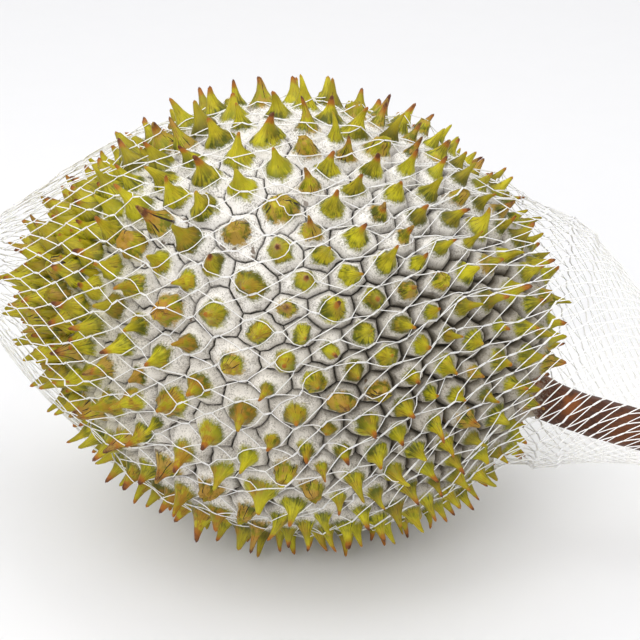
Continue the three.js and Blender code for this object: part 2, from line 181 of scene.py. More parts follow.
rng = np.random.default_rng(11)


# ---------------------------------------------------------------- shared geometry

def unit(v):
    """A vector, or each row of an array, at length one."""
    return v / np.maximum(np.linalg.norm(v, axis=-1, keepdims=True), 1e-12)


def mix(a, b, share):
    """Part of the way from a to b."""
    return a + (b - a) * share


def smooth_step(low, high, value):
    """0 below low, 1 above high, and a soft rise between them."""
    t = np.clip((value - low) / (high - low), 0, 1)
    return t * t * (3 - 2 * t)


def fade(value, low, high, first, last):
    """From first to last as value goes from low to high."""
    return mix(first, last, smooth_step(low, high, value))


def spoke(turn, first, second):
    """The direction at a turn, in the plane of two others."""
    return math.cos(turn) * first + math.sin(turn) * second


def spokes(turns, first, second):
    """The directions at an array of turns, in the plane of two others."""
    return np.cos(turns)[..., None] * first + np.sin(turns)[..., None] * second


def around(ring):
    """The point after each point of a ring."""
    return ring[1:] + ring[:1]


def band(outer, inner):
    """Faces between two rings of the same count."""
    return list(zip(outer, around(outer), around(inner), inner))


def cap(ring, top):
    """Faces from a ring to one point."""
    return [(a, b, top) for a, b in zip(ring, around(ring))]


def lengths_along(path):
    """How far along a path, or along each of many, its points lie."""
    steps = np.linalg.norm(np.diff(path, axis=-2), axis=-1)
    return np.cumsum(np.concatenate([np.zeros_like(steps[..., :1]), steps], axis=-1), axis=-1)


def welded(node):
    """Points and triangles of a CAD node, with the corners that meet merged."""
    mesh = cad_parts[node].data
    points = np.array([v.co[:] for v in mesh.vertices])
    triangles = np.array([p.vertices[:] for p in mesh.polygons])
    keys = np.round(points / (0.002 * MM)).astype(np.int64)
    _, first, where = np.unique(keys, axis=0, return_index=True, return_inverse=True)
    return points[first], where.reshape(-1)[triangles]


def new_piece(name, points, faces, material, values, vectors=None):
    """A smooth-shaded object from arrays, with per-point numbers and vectors for its material."""
    mesh = bpy.data.meshes.new(name)
    mesh.from_pydata([tuple(p) for p in points], [], [tuple(int(i) for i in f) for f in faces])
    mesh.validate()
    mesh.shade_smooth()
    for key, array in values.items():
        layer = mesh.attributes.new(key, "FLOAT", "POINT")
        layer.data.foreach_set("value", np.asarray(array, np.float32))
    for key, array in (vectors or {}).items():
        layer = mesh.attributes.new(key, "FLOAT_VECTOR", "POINT")
        layer.data.foreach_set("vector", np.asarray(array, np.float32).reshape(-1))
    mesh.materials.append(material)
    piece = bpy.data.objects.new(name, mesh)
    bpy.context.scene.collection.objects.link(piece)
    triangles = sum(len(p.vertices) - 2 for p in mesh.polygons)
    print(f"{name}: {triangles} triangles")
    assert triangles < MOST_TRIANGLES, name
    return piece


# ---------------------------------------------------------------- husk

def neighbours_of(points, triangles):
    """The set of points next to each point."""
    near = [set() for _ in points]
    for a, b, c in triangles:
        near[a].update((b, c))
        near[b].update((a, c))
        near[c].update((a, b))
    return near


def meeting_point(starts, ends):
    """The point closest to all the lines from starts through ends."""
    along = unit(ends - starts)
    across = np.eye(3)[None] - along[:, :, None] * along[:, None, :]
    return np.linalg.solve(across.sum(0), np.einsum("nij,nj->i", across, starts))


def in_order(ids, points, normal):
    """Point numbers in order round a normal, counterclockwise from outside."""
    arms = points[ids] - points[ids].mean(0)
    first = unit(arms[0] - normal * (arms[0] @ normal))
    second = np.cross(normal, first)
    return [ids[i] for i in np.argsort(np.arctan2(arms @ second, arms @ first))]


def worn_tips(points, near):
    """Groups of points round each tip that the resting surface has worn flat."""
    left = {i for i, p in enumerate(points) if p[2] < 0.01 * MM}
    groups = []
    while left:
        group = set()
        fresh = {min(left)}
        while fresh:
            group |= fresh
            fresh = {n for i in fresh for n in near[i] if n in left} - group
        left -= group
        groups.append(group)
    return groups


def husk_cells():
    """The husk's cells: ring of corners, middle, normal, and tip, which is None under the stalk."""
    points, triangles = welded("husk")
    near = neighbours_of(points, triangles)
    heart = (points.min(0) + points.max(0)) / 2
    cells = []
    taken = set()

    def add(ring, tip):
        """Adds the cell inside a ring of corners."""
        outward = unit(points[ring].mean(0) - heart)
        ring = in_order(ring, points, outward)
        normal = unit(np.cross(points[ring], np.roll(points[ring], -1, axis=0)).sum(0))
        cells.append({"ring": ring, "middle": points[ring].mean(0), "normal": normal, "tip": tip})

    for group in worn_tips(points, near):
        ring = sorted({n for i in group for n in near[i]} - group)
        ends = [min(near[n] & group, key=lambda i: math.dist(points[n], points[i])) for n in ring]
        add(ring, meeting_point(points[ring], points[ends]))
        taken |= group | set(ring)
    for i, point in enumerate(points):
        ring = sorted(near[i])
        if i not in taken and (point - points[ring].mean(0)) @ unit(point - heart) > SPINE_LIFT:
            add(ring, point)
            taken.add(i)
            taken.update(ring)
    for i in sorted(set(range(len(points))) - taken):
        add(sorted(near[i]), None)
    return points, cells


def long_axis(points):
    """The husk's heart and its long direction, from blossom end to stalk."""
    heart = (points.min(0) + points.max(0)) / 2
    _, _, directions = np.linalg.svd(points - points.mean(0), full_matrices=False)
    along = directions[0]
    return heart, along * np.sign(along[0])


class Husk:
    """The growing list of the husk's points and faces, with what its material reads."""

    def __init__(self):
        self.points = []
        self.faces = []
        self.fibres = []
        self.values = {key: [] for key in ("rise", "gap", "tone", "green", "scab")}

    def add(self, point, rise, gap, look, fibres):
        """Adds a point and returns its number."""
        self.points.append(point)
        self.fibres.append(fibres)
        for key, value in {"rise": rise, "gap": gap, **look}.items():
            self.values[key].append(value)
        return len(self.points) - 1

    def zip_rings(self, outer, outer_turns, inner, inner_turns):
        """Faces between two rings of different counts, by the turn of each point."""
        i = j = 0
        while i < len(outer) or j < len(inner):
            next_outer = outer_turns[i + 1] if i + 1 < len(outer) else outer_turns[0] + math.tau
            next_inner = inner_turns[j + 1] if j + 1 < len(inner) else inner_turns[0] + math.tau
            a = outer[i % len(outer)]
            b = inner[j % len(inner)]
            if j >= len(inner) or (i < len(outer) and next_outer <= next_inner):
                self.faces.append((a, outer[(i + 1) % len(outer)], b))
                i += 1
            else:
                self.faces.append((a, inner[(j + 1) % len(inner)], b))
                j += 1


def crevices(points, cells):
    """Points along every crevice, shared by the cells on its two sides."""
    outward = np.zeros_like(points)
    for cell in cells:
        outward[cell["ring"]] += cell["normal"]
    outward = unit(outward)
    husk = Husk()
    corner_ids = {}
    edge_ids = {}
    for cell in cells:
        for a, b in zip(cell["ring"], around(cell["ring"])):
            for corner in (a, b):
                if corner not in corner_ids:
                    place = points[corner] - outward[corner] * (PLATE_SINK + CREVICE_DEPTH * CORNER_DEPTH)
                    corner_ids[corner] = husk.add(place, 0, 0, PLAIN_LOOK, (0, 0, 0))
            key = (min(a, b), max(a, b))
            if key in edge_ids:
                continue
            start, end = points[key[0]], points[key[1]]
            length = np.linalg.norm(end - start)
            pieces = int(np.clip(round(length / CREVICE_STEP), 1, 4))
            up = unit(outward[key[0]] + outward[key[1]])
            side = np.cross(up, unit(end - start))
            edge_ids[key] = []
            for k in range(1, pieces):
                drift = side * rng.normal(0, CREVICE_WOBBLE) * (length > STRAIGHT_BELOW)
                depth = PLATE_SINK + CREVICE_DEPTH * rng.uniform(*CREVICE_DEPTHS)
                place = mix(start, end, k / pieces) + drift - up * depth
                edge_ids[key].append(husk.add(place, 0, 0, PLAIN_LOOK, (0, 0, 0)))
    return husk, corner_ids, edge_ids


def cell_boundary(cell, corner_ids, edge_ids):
    """Point numbers all the way round a cell."""
    boundary = []
    for a, b in zip(cell["ring"], around(cell["ring"])):
        boundary.append(corner_ids[a])
        inside = edge_ids[(min(a, b), max(a, b))]
        boundary.extend(inside if a < b else inside[::-1])
    return boundary


def grow_cell(husk, cell, boundary, forward):
    """One cell of the husk: shoulder, plate, and the cone that leans to its tip."""
    normal = cell["normal"]
    middle = cell["middle"] - normal * PLATE_SINK
    rim = np.array([husk.points[i] for i in boundary]) + normal * CREVICE_DEPTH
    arms = rim - middle
    lift = arms @ normal
    flat = arms - lift[:, None] * normal
    first = unit(flat[0])
    second = np.cross(normal, first)
    turns = np.unwrap(np.arctan2(flat @ second, flat @ first))
    turns -= turns[0]
    reach = np.linalg.norm(flat, axis=1)
    size = reach.mean()

    bare = cell["tip"] is None
    tip = middle + normal * BARE_HEIGHT * MM if bare else cell["tip"]
    if not bare and tip[2] > FLOOR_GAP:
        tip = middle + (tip - middle) * rng.uniform(SHORTEST, TALLEST) * fade(forward, *LENGTH_ALONG)
    height = (tip - middle) @ normal
    lean = tip - middle - normal * height
    hook_turn = rng.uniform(0, math.tau)
    hook = spoke(hook_turn, first, second) * HOOK * rng.uniform(0, 1) ** 2
    keels = int(rng.integers(KEELS[0], KEELS[1] + 1))
    keel_turn = rng.uniform(0, math.tau)
    oval_turn = rng.uniform(0, math.pi)
    oval = rng.uniform(0.0, MOST_OVAL)
    fullness = rng.normal(1.03, 0.10) * fade(forward, *FULLNESS_ALONG)
    worn = fade(abs(forward + 0.1), *WEAR_FROM_MIDDLE)
    broken = (not bare) and rng.random() < BROKEN_PART * worn
    scarred = broken or rng.random() < SCARRED_PART * worn
    green = fade(forward, *GREEN_ALONG) + rng.normal(0, 0.03)
    green = green - TOPSIDE_GREEN * smooth_step(0.3, 0.85, normal[2]) * smooth_step(0.45, 0.10, forward)
    look = {
        "tone": rng.random(),
        "green": 2.0 if bare else green,
        "scab": rng.uniform(0.55, 1.0) if scarred else rng.uniform(0, 0.25),
    }
    start = rng.uniform(0, 40)

    def fibres(turn, rise):
        """What the streaks that run up the cell read."""
        return (math.cos(turn), math.sin(turn), start + rise * height / FIBRE_STEP)

    def axis_at(rise):
        """Where the middle of the cell is at a share of the height."""
        return middle + normal * rise * height + lean * rise ** LEAN_POWER + hook * rise ** 4

    def keeled(turn):
        """How much wider the cone is at a turn, for its keels and its oval foot."""
        wave = math.cos(keels * (turn - keel_turn))
        return 1 + KEEL_DEPTH * wave + oval * math.cos(2 * (turn - oval_turn))

    boldness = fade(forward, *BOLDNESS_ALONG)
    shoulder = SHOULDER_HEIGHTS[-1] * SHOULDER_KEPT * (0.5 if bare else boldness)
    ragged = rng.uniform(0.75, 1.5, len(turns))
    outer = boundary
    for inset, step in zip(SHOULDER_INSETS, SHOULDER_HEIGHTS):
        ids = []
        for k, turn in enumerate(turns):
            keep = max(1 - inset * ragged[k] / reach[k], NARROWEST_SHOULDER)
            point = middle + flat[k] * keep + normal * (lift[k] * keep + step * boldness)
            point = point + normal * rng.normal(0, SHOULDER_BUMPS)
            open_gap = min(inset / SHOULDER_INSETS[1], 1.3)
            ids.append(husk.add(point, 0.03, open_gap, look, fibres(turn, 0)))
        husk.faces += band(outer, ids)
        outer = ids
    for share, rise, roundness in zip(PLATE_SHARES, PLATE_RISES, PLATE_ROUNDNESS):
        ids = []
        base = axis_at(rise)
        for k, turn in enumerate(turns):
            direction = spoke(turn, first, second)
            arm = mix(flat[k] * share, direction * size * share * keeled(turn) * fullness, roundness)
            point = base + arm + normal * (lift[k] * share + shoulder * (1 - rise))
            point = point + normal * rng.normal(0, PLATE_BUMPS)
            ids.append(husk.add(point, rise, OPEN_GAP, look, fibres(turn, rise)))
        husk.faces += band(outer, ids)
        outer = ids
    cone_turns = np.arange(CONE_SIDES) * math.tau / CONE_SIDES
    rows = zip(BROKEN_SHARES, BROKEN_RISES) if broken else zip(CONE_SHARES, CONE_RISES)
    for level, (share, rise) in enumerate(rows):
        ids = []
        base = axis_at(rise)
        rough = BROKEN_ROUGHNESS[level] if broken else CONE_ROUGHNESS
        for turn in cone_turns:
            radius = size * share * keeled(turn) * fullness * (1 + rng.normal(0, rough))
            droop = rng.normal(0, BROKEN_DROOP) if broken and level > 2 else 0
            kept = lift.mean() * share + shoulder * (1 - rise)
            point = base + spoke(turn, first, second) * radius + normal * (kept + droop)
            ids.append(husk.add(point, rise, OPEN_GAP, look, fibres(turn, rise)))
        if level == 0:
            husk.zip_rings(outer, turns, ids, cone_turns)
        else:
            husk.faces += band(outer, ids)
        outer = ids
    top_rise = BROKEN_TOP if broken else 1.0
    middle_fibre = (0, 0, start + top_rise * height / FIBRE_STEP)
    husk.faces += cap(outer, husk.add(axis_at(top_rise), top_rise, OPEN_GAP, look, middle_fibre))


def add_small_spines(husk, points, cells, heart, along, half):
    """Short spines that crowd the corners between the cells near the blossom end."""
    near = {}
    for cell in cells:
        if cell["tip"] is not None:
            for corner in cell["ring"]:
                near.setdefault(corner, []).append(cell)
    taken = []
    for corner in sorted(near):
        forward = float((points[corner] - heart) @ along) / half
        around_it = near[corner]
        crowded = any(np.linalg.norm(points[corner] - other) < SMALL_SPINE_GAP for other in taken)
        if len(around_it) < 3 or crowded or rng.random() > smooth_step(*SMALL_SPINE_SPAN, forward):
            continue
        taken.append(points[corner])
        outward = unit(sum(cell["normal"] for cell in around_it))
        arms = [cell["tip"] - cell["middle"] for cell in around_it]
        height = np.mean([arm @ cell["normal"] for arm, cell in zip(arms, around_it)])
        height = height * rng.uniform(*SMALL_SPINE_HEIGHTS)
        lean = sum(unit(arm) for arm in arms) / len(arms)
        lean = (lean - outward * (lean @ outward)) * height
        side = unit(np.cross(outward, along))
        ahead = np.cross(side, outward)
        radius = rng.uniform(*SMALL_SPINE_RADII)
        look = {"tone": rng.random(), "green": SMALL_SPINE_GREEN, "scab": rng.uniform(0, 0.2)}
        foot = points[corner] - outward * SMALL_SPINE_SINK * MM
        start = rng.uniform(0, 40)
        outer = None
        for share, rise in zip(SMALL_SPINE_SHARES, SMALL_SPINE_RISES):
            base = foot + outward * rise * height + lean * rise ** LEAN_POWER
            ring = []
            for turn in np.arange(SMALL_SPINE_SIDES) * math.tau / SMALL_SPINE_SIDES:
                reach = radius * share * (1 + rng.normal(0, 0.04))
                fibres = (math.cos(turn), math.sin(turn), start + rise * height / FIBRE_STEP)
                place = base + spoke(turn, side, ahead) * reach
                ring.append(husk.add(place, rise, OPEN_GAP, look, fibres))
            if outer is not None:
                husk.faces += band(outer, ring)
            outer = ring
        middle_fibre = (0, 0, start + height / FIBRE_STEP)
        top = husk.add(foot + outward * height + lean, 1.0, OPEN_GAP, look, middle_fibre)
        husk.faces += cap(outer, top)


def build_husk(points, cells, heart, along, material):
    """The whole husk: one skin of cells, and small spines whose open feet are sunk in it."""
    husk, corner_ids, edge_ids = crevices(points, cells)
    half = np.abs((points - heart) @ along).max()
    for cell in cells:
        forward = float((cell["middle"] - heart) @ along) / half
        grow_cell(husk, cell, cell_boundary(cell, corner_ids, edge_ids), forward)
    add_small_spines(husk, points, cells, heart, along, half)
    places = np.array(husk.points)
    places[:, 2] = np.maximum(places[:, 2], 0)
    values = {**husk.values, "stalkward": (places - heart) @ along / half}
    return new_piece("spiny_husk", places, husk.faces, material, values, {"fibres": husk.fibres})


# ---------------------------------------------------------------- tubes

def tubes(paths, radii, sides):
    """Round closed tubes along paths of one length: paths (tubes, steps, 3), radii (tubes, steps)."""
    count, steps, _ = paths.shape
    along = np.empty_like(paths)
    along[:, 1:-1] = paths[:, 2:] - paths[:, :-2]
    along[:, 0] = paths[:, 1] - paths[:, 0]
    along[:, -1] = paths[:, -1] - paths[:, -2]
    along = unit(along)
    spare = np.where(np.abs(along[:, 0, 2:3]) > 0.8, [[1.0, 0, 0]], [[0, 0, 1.0]])
    side = unit(np.cross(along[:, 0], spare))
    turns = np.arange(sides) * math.tau / sides
    rings = np.empty((count, steps, sides, 3))
    for k in range(steps):
        side = unit(side - along[:, k] * (side * along[:, k]).sum(-1, keepdims=True))
        other = np.cross(along[:, k], side)
        arms = spokes(turns, side[:, None], other[:, None])
        rings[:, k] = paths[:, k, None] + arms * radii[:, k, None, None]
    first = (np.arange(count) * steps * sides)[:, None, None]
    k = (np.arange(steps - 1) * sides)[None, :, None]
    s = np.arange(sides)[None, None, :]
    t = (np.arange(sides) + 1)[None, None, :] % sides
    a, b = first + k + s, first + k + t
    faces = np.stack([a, b, b + sides, a + sides], axis=-1).reshape(-1, 4).tolist()
    for c in range(count):
        start = c * steps * sides
        end = start + (steps - 1) * sides
        faces.append([start + i for i in reversed(range(sides))])
        faces.append([end + i for i in range(sides)])
    return rings.reshape(-1, 3), faces


# ---------------------------------------------------------------- stalk

def stalk_sections():
    """Middle and radius of even cuts through the CAD stalk, from its foot to its end."""
    points, triangles = welded("stem")
    low, high = points[:, 0].min(), points[:, 0].max()
    middles, radii = [], []
    for x in np.linspace(low + STALK_ENDS, high - STALK_ENDS, STALK_CUTS):
        hits = []
        for triangle in triangles:
            for a, b in ((0, 1), (1, 2), (2, 0)):
                p, q = points[triangle[a]], points[triangle[b]]
                if (p[0] - x) * (q[0] - x) < 0:
                    hits.append(mix(p, q, (x - p[0]) / (q[0] - p[0])))
        hits = np.array(hits)
        middle = (hits.min(0) + hits.max(0)) / 2
        middles.append(middle)
        radii.append(np.linalg.norm((hits - middle)[:, 1:], axis=1).mean())
    return np.array(middles), np.array(radii)


def wave_noise(turns, lengths, waves, seed):
    """Smooth random waves over a round bar, from a few sines."""
    picks = np.random.default_rng(seed)
    total = np.zeros(np.broadcast(turns, lengths).shape)
    for across, along, strength in waves:
        for _ in range(6):
            a = picks.integers(0, across + 1)
            b = picks.uniform(-along, along)
            total += strength * np.sin(a * turns + b * lengths + picks.uniform(0, math.tau)) / 3
    return total


def smoothed(values, passes):
    """A row of numbers or points, with each drawn toward the middle of its neighbours."""
    for _ in range(passes):
        values[1:-1] = mix(values[1:-1], (values[2:] + values[:-2]) / 2, 0.5)
    return values


def build_stalk(middles, radii, material):
    """The cut stalk: bark with fine wrinkles and a worn, ringed cut face."""
    t = np.linspace(0, 1, len(middles))
    s = np.linspace(0, 1, STALK_RINGS)
    path = smoothed(np.stack([np.interp(s, t, middles[:, i]) for i in range(3)], axis=1), 12)
    radius = smoothed(np.interp(s, t, radii), 6)
    along = unit(np.gradient(path, axis=0))
    path[0] -= along[0] * STALK_SINK * MM
    up = unit(np.cross(along, ACROSS_TABLE))
    across = np.cross(up, along)
    turns = np.arange(STALK_SIDES) * math.tau / STALK_SIDES
    length = np.linalg.norm(np.diff(path, axis=0), axis=1).sum()
    run = s[:, None] * length / FIBRE_STEP
    wrinkle = wave_noise(turns[None, :], run, [(3, 0.6, 0.35), (9, 1.2, 0.16)], 5)
    rings = wave_noise(turns[None, :] * 0, run, [(0, 7, 0.10)], 8)
    bark = radius[:, None] + (wrinkle + rings) * MM
    bark = bark * fade(s, *STALK_ROUNDING)[:, None]
    arms = spokes(turns, up[:, None], across[:, None])
    points = list((path[:, None] + arms * bark[..., None]).reshape(-1, 3))
    rows = np.arange(len(points)).reshape(STALK_RINGS, STALK_SIDES).tolist()
    faces = []
    for lower, upper in zip(rows, rows[1:]):
        faces += band(lower, upper)
    foot = list(s.repeat(STALK_SIDES))
    cut = [0.0] * len(points)
    depth = [0.0] * len(points)
    ring = rows[-1]
    for share in CUT_SHARES:
        fresh = list(range(len(points), len(points) + STALK_SIDES))
        for i, turn in enumerate(turns):
            place = path[-1] + arms[-1, i] * bark[-1, i] * share
            dent = 0.25 * math.sin(3 * turn + 9 * share) + 0.3 * math.sin(14 * share) + 0.5 * (share < 0.2)
            points.append(place + along[-1] * (0.35 - dent * 0.6) * MM)
        foot += [1.0] * STALK_SIDES
        cut += [1.0] * STALK_SIDES
        depth += [1 - share] * STALK_SIDES
        faces += band(ring, fresh)
        ring = fresh
    points += [path[-1], path[0]]
    foot += [1.0, 0.0]
    cut += [1.0, 0.0]
    depth += [1.0, 0.0]
    faces += cap(ring, len(points) - 2)
    faces += [(b, a, top) for a, b, top in cap(rows[0], len(points) - 1)]
    grain_turn = np.concatenate([np.tile(turns, STALK_RINGS + len(CUT_SHARES)), [0, 0]])
    reach = np.array(foot) * length / FIBRE_STEP
    grain = np.stack([np.cos(grain_turn), np.sin(grain_turn), reach], axis=1)
    values = {"along_stalk": foot, "cut_face": cut, "toward_pith": depth}
    return new_piece("cut_stalk", np.array(points), faces, material, values, {"grain": grain})


# ---------------------------------------------------------------- net sleeve

def base_tree(points, cells):
    """A collision tree of the husk with its spines left off."""
    places = list(points)
    faces = []
    for cell in cells:
        places.append(cell["middle"])
        faces += cap(cell["ring"], len(places) - 1)
    return BVHTree.FromPolygons([tuple(p) for p in places], faces)


def taut_profile(tree, heart, along, across, up, collar, collar_radius):
    """The line from knot to collar that a taut sleeve follows: place along the axis, and radius."""
    profile = []
    for slope in np.radians(np.arange(0, 181, PROFILE_STEP)):
        reaches = []
        for turn in np.arange(PROFILE_TURNS) * math.tau / PROFILE_TURNS:
            ray = -math.cos(slope) * along + math.sin(slope) * spoke(turn, across, up)
            reaches.append(tree.ray_cast(Vector(heart), Vector(ray))[3])
        reach = np.mean(reaches) + STANDOFF
        reach += BLOSSOM_STANDOFF * smooth_step(*BLOSSOM_SLOPES, slope)
        profile.append((-math.cos(slope) * reach, math.sin(slope) * reach))
    tip = profile[0][0] + BLOSSOM_STANDOFF - STANDOFF
    ends = [(tip - KNOT_REACH, BUNDLE), (collar, collar_radius)]
    last = profile[-1][0] * PROFILE_KEPT
    hull = []
    for place in sorted([p for p in profile if tip < p[0] < last] + ends):
        while len(hull) > 1:
            (x1, r1), (x2, r2) = hull[-2:]
            if (x2 - x1) * (place[1] - r1) - (r2 - r1) * (place[0] - x1) < 0:
                break
            hull.pop()
        hull.append(place)
    return np.array(hull)


def net_rows(profile):
    """How far along the profile each row of joints lies, and the strand length that makes them fit."""
    reach = lengths_along(profile)

    def rows(strand):
        places = [0.0]
        while len(places) < ROWS:
            radius = np.interp(places[-1] + JOINT / 2 + strand / 2, reach, profile[:, 1])
            half = math.pi * radius / COLUMNS
            places.append(places[-1] + JOINT + math.sqrt(max(strand ** 2 - half ** 2, (0.3 * strand) ** 2)))
        return np.array(places)

    low, high = 6 * MM, 30 * MM
    for _ in range(40):
        strand = (low + high) / 2
        if rows(strand)[-1] + JOINT > reach[-1]:
            high = strand
        else:
            low = strand
    return reach, rows(strand) + JOINT / 2, strand


def lay_net(profile, heart, along, across, up, collar_middle):
    """The sleeve's joints and strands, laid evenly round the taut profile."""
    reach, rows, strand = net_rows(profile)
    print(f"net strands {strand / MM:.1f} mm, sleeve {reach[-1] / MM:.0f} mm")
    total = reach[-1]
    drift = rng.normal(0, 1, (3, WAVES))
    off_axis = collar_middle - heart - along * ((collar_middle - heart) @ along)
    tail_start = profile[np.argmax(profile[:, 1]), 0] + TAIL_FROM

    def place(s, turn):
        """Where the sleeve is at a length along it and a turn round it."""
        x = np.interp(s, reach, profile[:, 0])
        radius = np.interp(s, reach, profile[:, 1])
        turn = turn + TWIST * (s / total - 0.5) + STALKWARD_TWIST * smooth_step(*STALKWARD_SPAN, s / total)
        turn = turn + TAIL_TWIST * smooth_step(*TAIL_SPAN, s / total)
        for k in range(WAVES):
            wave = np.sin(s / total * (k + 2) * 2.1 + (k % 3) * turn + drift[2, k] * 3)
            turn = turn + WAVE_SIZE * drift[0, k] * wave
        tail = smooth_step(tail_start, profile[-1, 0], x)
        slack = np.sin(math.pi * np.clip((x - tail_start) / (profile[-1, 0] - tail_start), 0, 1))
        lifted = (across + up) * math.sqrt(0.5) * TAIL_LIFT
        spine_line = heart + x[..., None] * along + tail[..., None] * off_axis + slack[..., None] * lifted
        return spine_line + radius[..., None] * spokes(turn, across, up)

    columns = np.arange(COLUMNS)
    turns = np.stack([math.tau * (columns + 0.5 * (r % 2)) / COLUMNS for r in range(ROWS)])
    starts = place(rows[:, None] - JOINT / 2, turns)
    ends = place(rows[:, None] + JOINT / 2, turns)
    joints = np.arange(ROWS * COLUMNS * 2).reshape(ROWS, COLUMNS, 2)
    places = [np.stack([starts, ends], axis=2).reshape(-1, 3)]
    strands = np.empty((ROWS - 1, COLUMNS, 2, STEPS_BETWEEN), int)
    count = len(places[0])
    shares = (np.arange(STEPS_BETWEEN) + 1) / (STEPS_BETWEEN + 1)
    for r in range(ROWS - 1):
        for side in (0, 1):
            turn_step = (side - 0.5) * math.tau / COLUMNS
            s = rows[r] + JOINT / 2 + shares * (rows[r + 1] - rows[r] - JOINT)
            laid = place(np.tile(s, (COLUMNS, 1)), turns[r][:, None] + turn_step * shares)
            places.append(laid.reshape(-1, 3))
            strands[r, :, side] = count + np.arange(COLUMNS * STEPS_BETWEEN).reshape(COLUMNS, STEPS_BETWEEN)
            count += COLUMNS * STEPS_BETWEEN
    return np.concatenate(places), joints, strands, strand


def beside(r, columns, side):
    """The column of the next row that a strand on this side leads to."""
    shift = side - 1 + r % 2
    return (columns + shift) % COLUMNS


def strand_chains(joints, strands):
    """For each row and side of the net, the points along its strands, as columns of numbers."""
    for r in range(ROWS - 1):
        for side in (0, 1):
            end = joints[r + 1, beside(r, np.arange(COLUMNS), side), 0]
            yield np.column_stack([joints[r, :, 1], strands[r, :, side], end])


def net_links(joints, strands, strand, places):
    """Pairs of net points that are tied together, and how far apart they lie when straight."""
    links = [joints[r] for r in range(ROWS)]
    lengths = [np.full(COLUMNS, JOINT) for _ in range(ROWS)]
    for chain in strand_chains(joints, strands):
        steps = rng.normal(strand, STRAND_SPREAD * strand, COLUMNS) / (STEPS_BETWEEN + 1)
        for k in range(STEPS_BETWEEN + 1):
            links.append(chain[:, k:k + 2])
            lengths.append(steps)
    links = np.concatenate(links)
    laid = np.linalg.norm(places[links[:, 0]] - places[links[:, 1]], axis=1)
    return links, np.maximum(np.concatenate(lengths), laid)


def touch(tree, spot, keep_off):
    """How far a net point must move to lie on the fruit and not in it, or None."""
    spot = Vector(spot)
    near, normal, _, _ = tree.find_nearest(spot, REACH_OF_TOUCH)
    if near is None or (spot - near).dot(normal) >= keep_off:
        return None
    return np.array(near + normal * keep_off - spot)


def settle_net(places, joints, strands, strand, tree, heart, along):
    """Lets the sleeve sink between the spines until its strands lie on them."""
    links, lengths = net_links(joints, strands, strand, places)
    a, b = links[:, 0], links[:, 1]
    count = len(places)
    ties = np.bincount(links.reshape(-1), minlength=count)[:, None]
    reach = (places - heart) @ along
    fixed = np.flatnonzero((reach < FREE_SPAN[0]) | (reach > FREE_SPAN[1]))
    anchors = places[fixed].copy()
    inner = strands.reshape(-1)
    nearby = np.zeros((count, 2), int)
    for chain in strand_chains(joints, strands):
        nearby[chain[:, 1:-1], 0] = chain[:, :-2]
        nearby[chain[:, 1:-1], 1] = chain[:, 2:]
    on_fruit = smooth_step(*SINKS_BEFORE, reach) * smooth_step(*SINKS_AFTER, reach)
    on_fruit = on_fruit * fade(reach, *SINKS_FULLY_AFTER, LEAST_SINK, 1.0)
    keep_off = YARN + TOUCHING_GAP
    for step in range(SETTLING_STEPS):
        sinking = SINK * (step < SETTLING_STEPS * SINKING_PART)
        arm = places - heart
        out = unit(arm - (arm @ along)[:, None] * along)
        places = places - out * (sinking * on_fruit)[:, None]
        middle = (places[nearby[inner, 0]] + places[nearby[inner, 1]]) / 2
        places[inner] = mix(places[inner], middle, STRAIGHTENING)
        for _ in range(PULLING_PASSES):
            gap = places[b] - places[a]
            size = np.linalg.norm(gap, axis=1)
            pull = np.where(size > lengths, PULL_WHEN_LONG, PULL_WHEN_SHORT) * (size - lengths) / size
            move = gap * pull[:, None]
            total = np.zeros_like(places)
            np.add.at(total, a, move)
            np.add.at(total, b, -move)
            places = places + total / ties * PULL_SHARED
            places[fixed] = anchors
        halfway = (places[a] + places[b]) / 2
        for i, spot in enumerate(halfway.tolist()):
            push = touch(tree, spot, keep_off)
            if push is not None:
                places[a[i]] += push
                places[b[i]] += push
        for i, spot in enumerate(places.tolist()):
            push = touch(tree, spot, keep_off)
            if push is not None:
                places[i] += push
        places[:, 2] = np.maximum(places[:, 2], FLOOR_GAP)
        places[fixed] = anchors
    return places


def yarn_paths(places, joints, strands, heart, along):
    """The yarns from knot to collar, side by side at each joint."""
    start, end = places[joints[..., 0]], places[joints[..., 1]]
    arm = (start + end) / 2 - heart
    out = unit(arm - (arm @ along)[..., None] * along)
    aside = unit(np.cross(unit(end - start), out)) * YARN * YARN_SPACING
    paths = []
    for lead in (1, 0):
        for column in range(COLUMNS):
            path = []
            for r in range(ROWS):
                side = lead if r % 2 == 0 else 1 - lead
                shift = aside[r, column] * (1 - 2 * side)
                path.append(start[r, column] + shift)
                path.append((start[r, column] + end[r, column]) / 2 + shift)
                path.append(end[r, column] + shift)
                if r < ROWS - 1:
                    path.extend(places[strands[r, column, side]])
                    column = int(beside(r, column, side))
            paths.append(path)
    return np.array(paths)


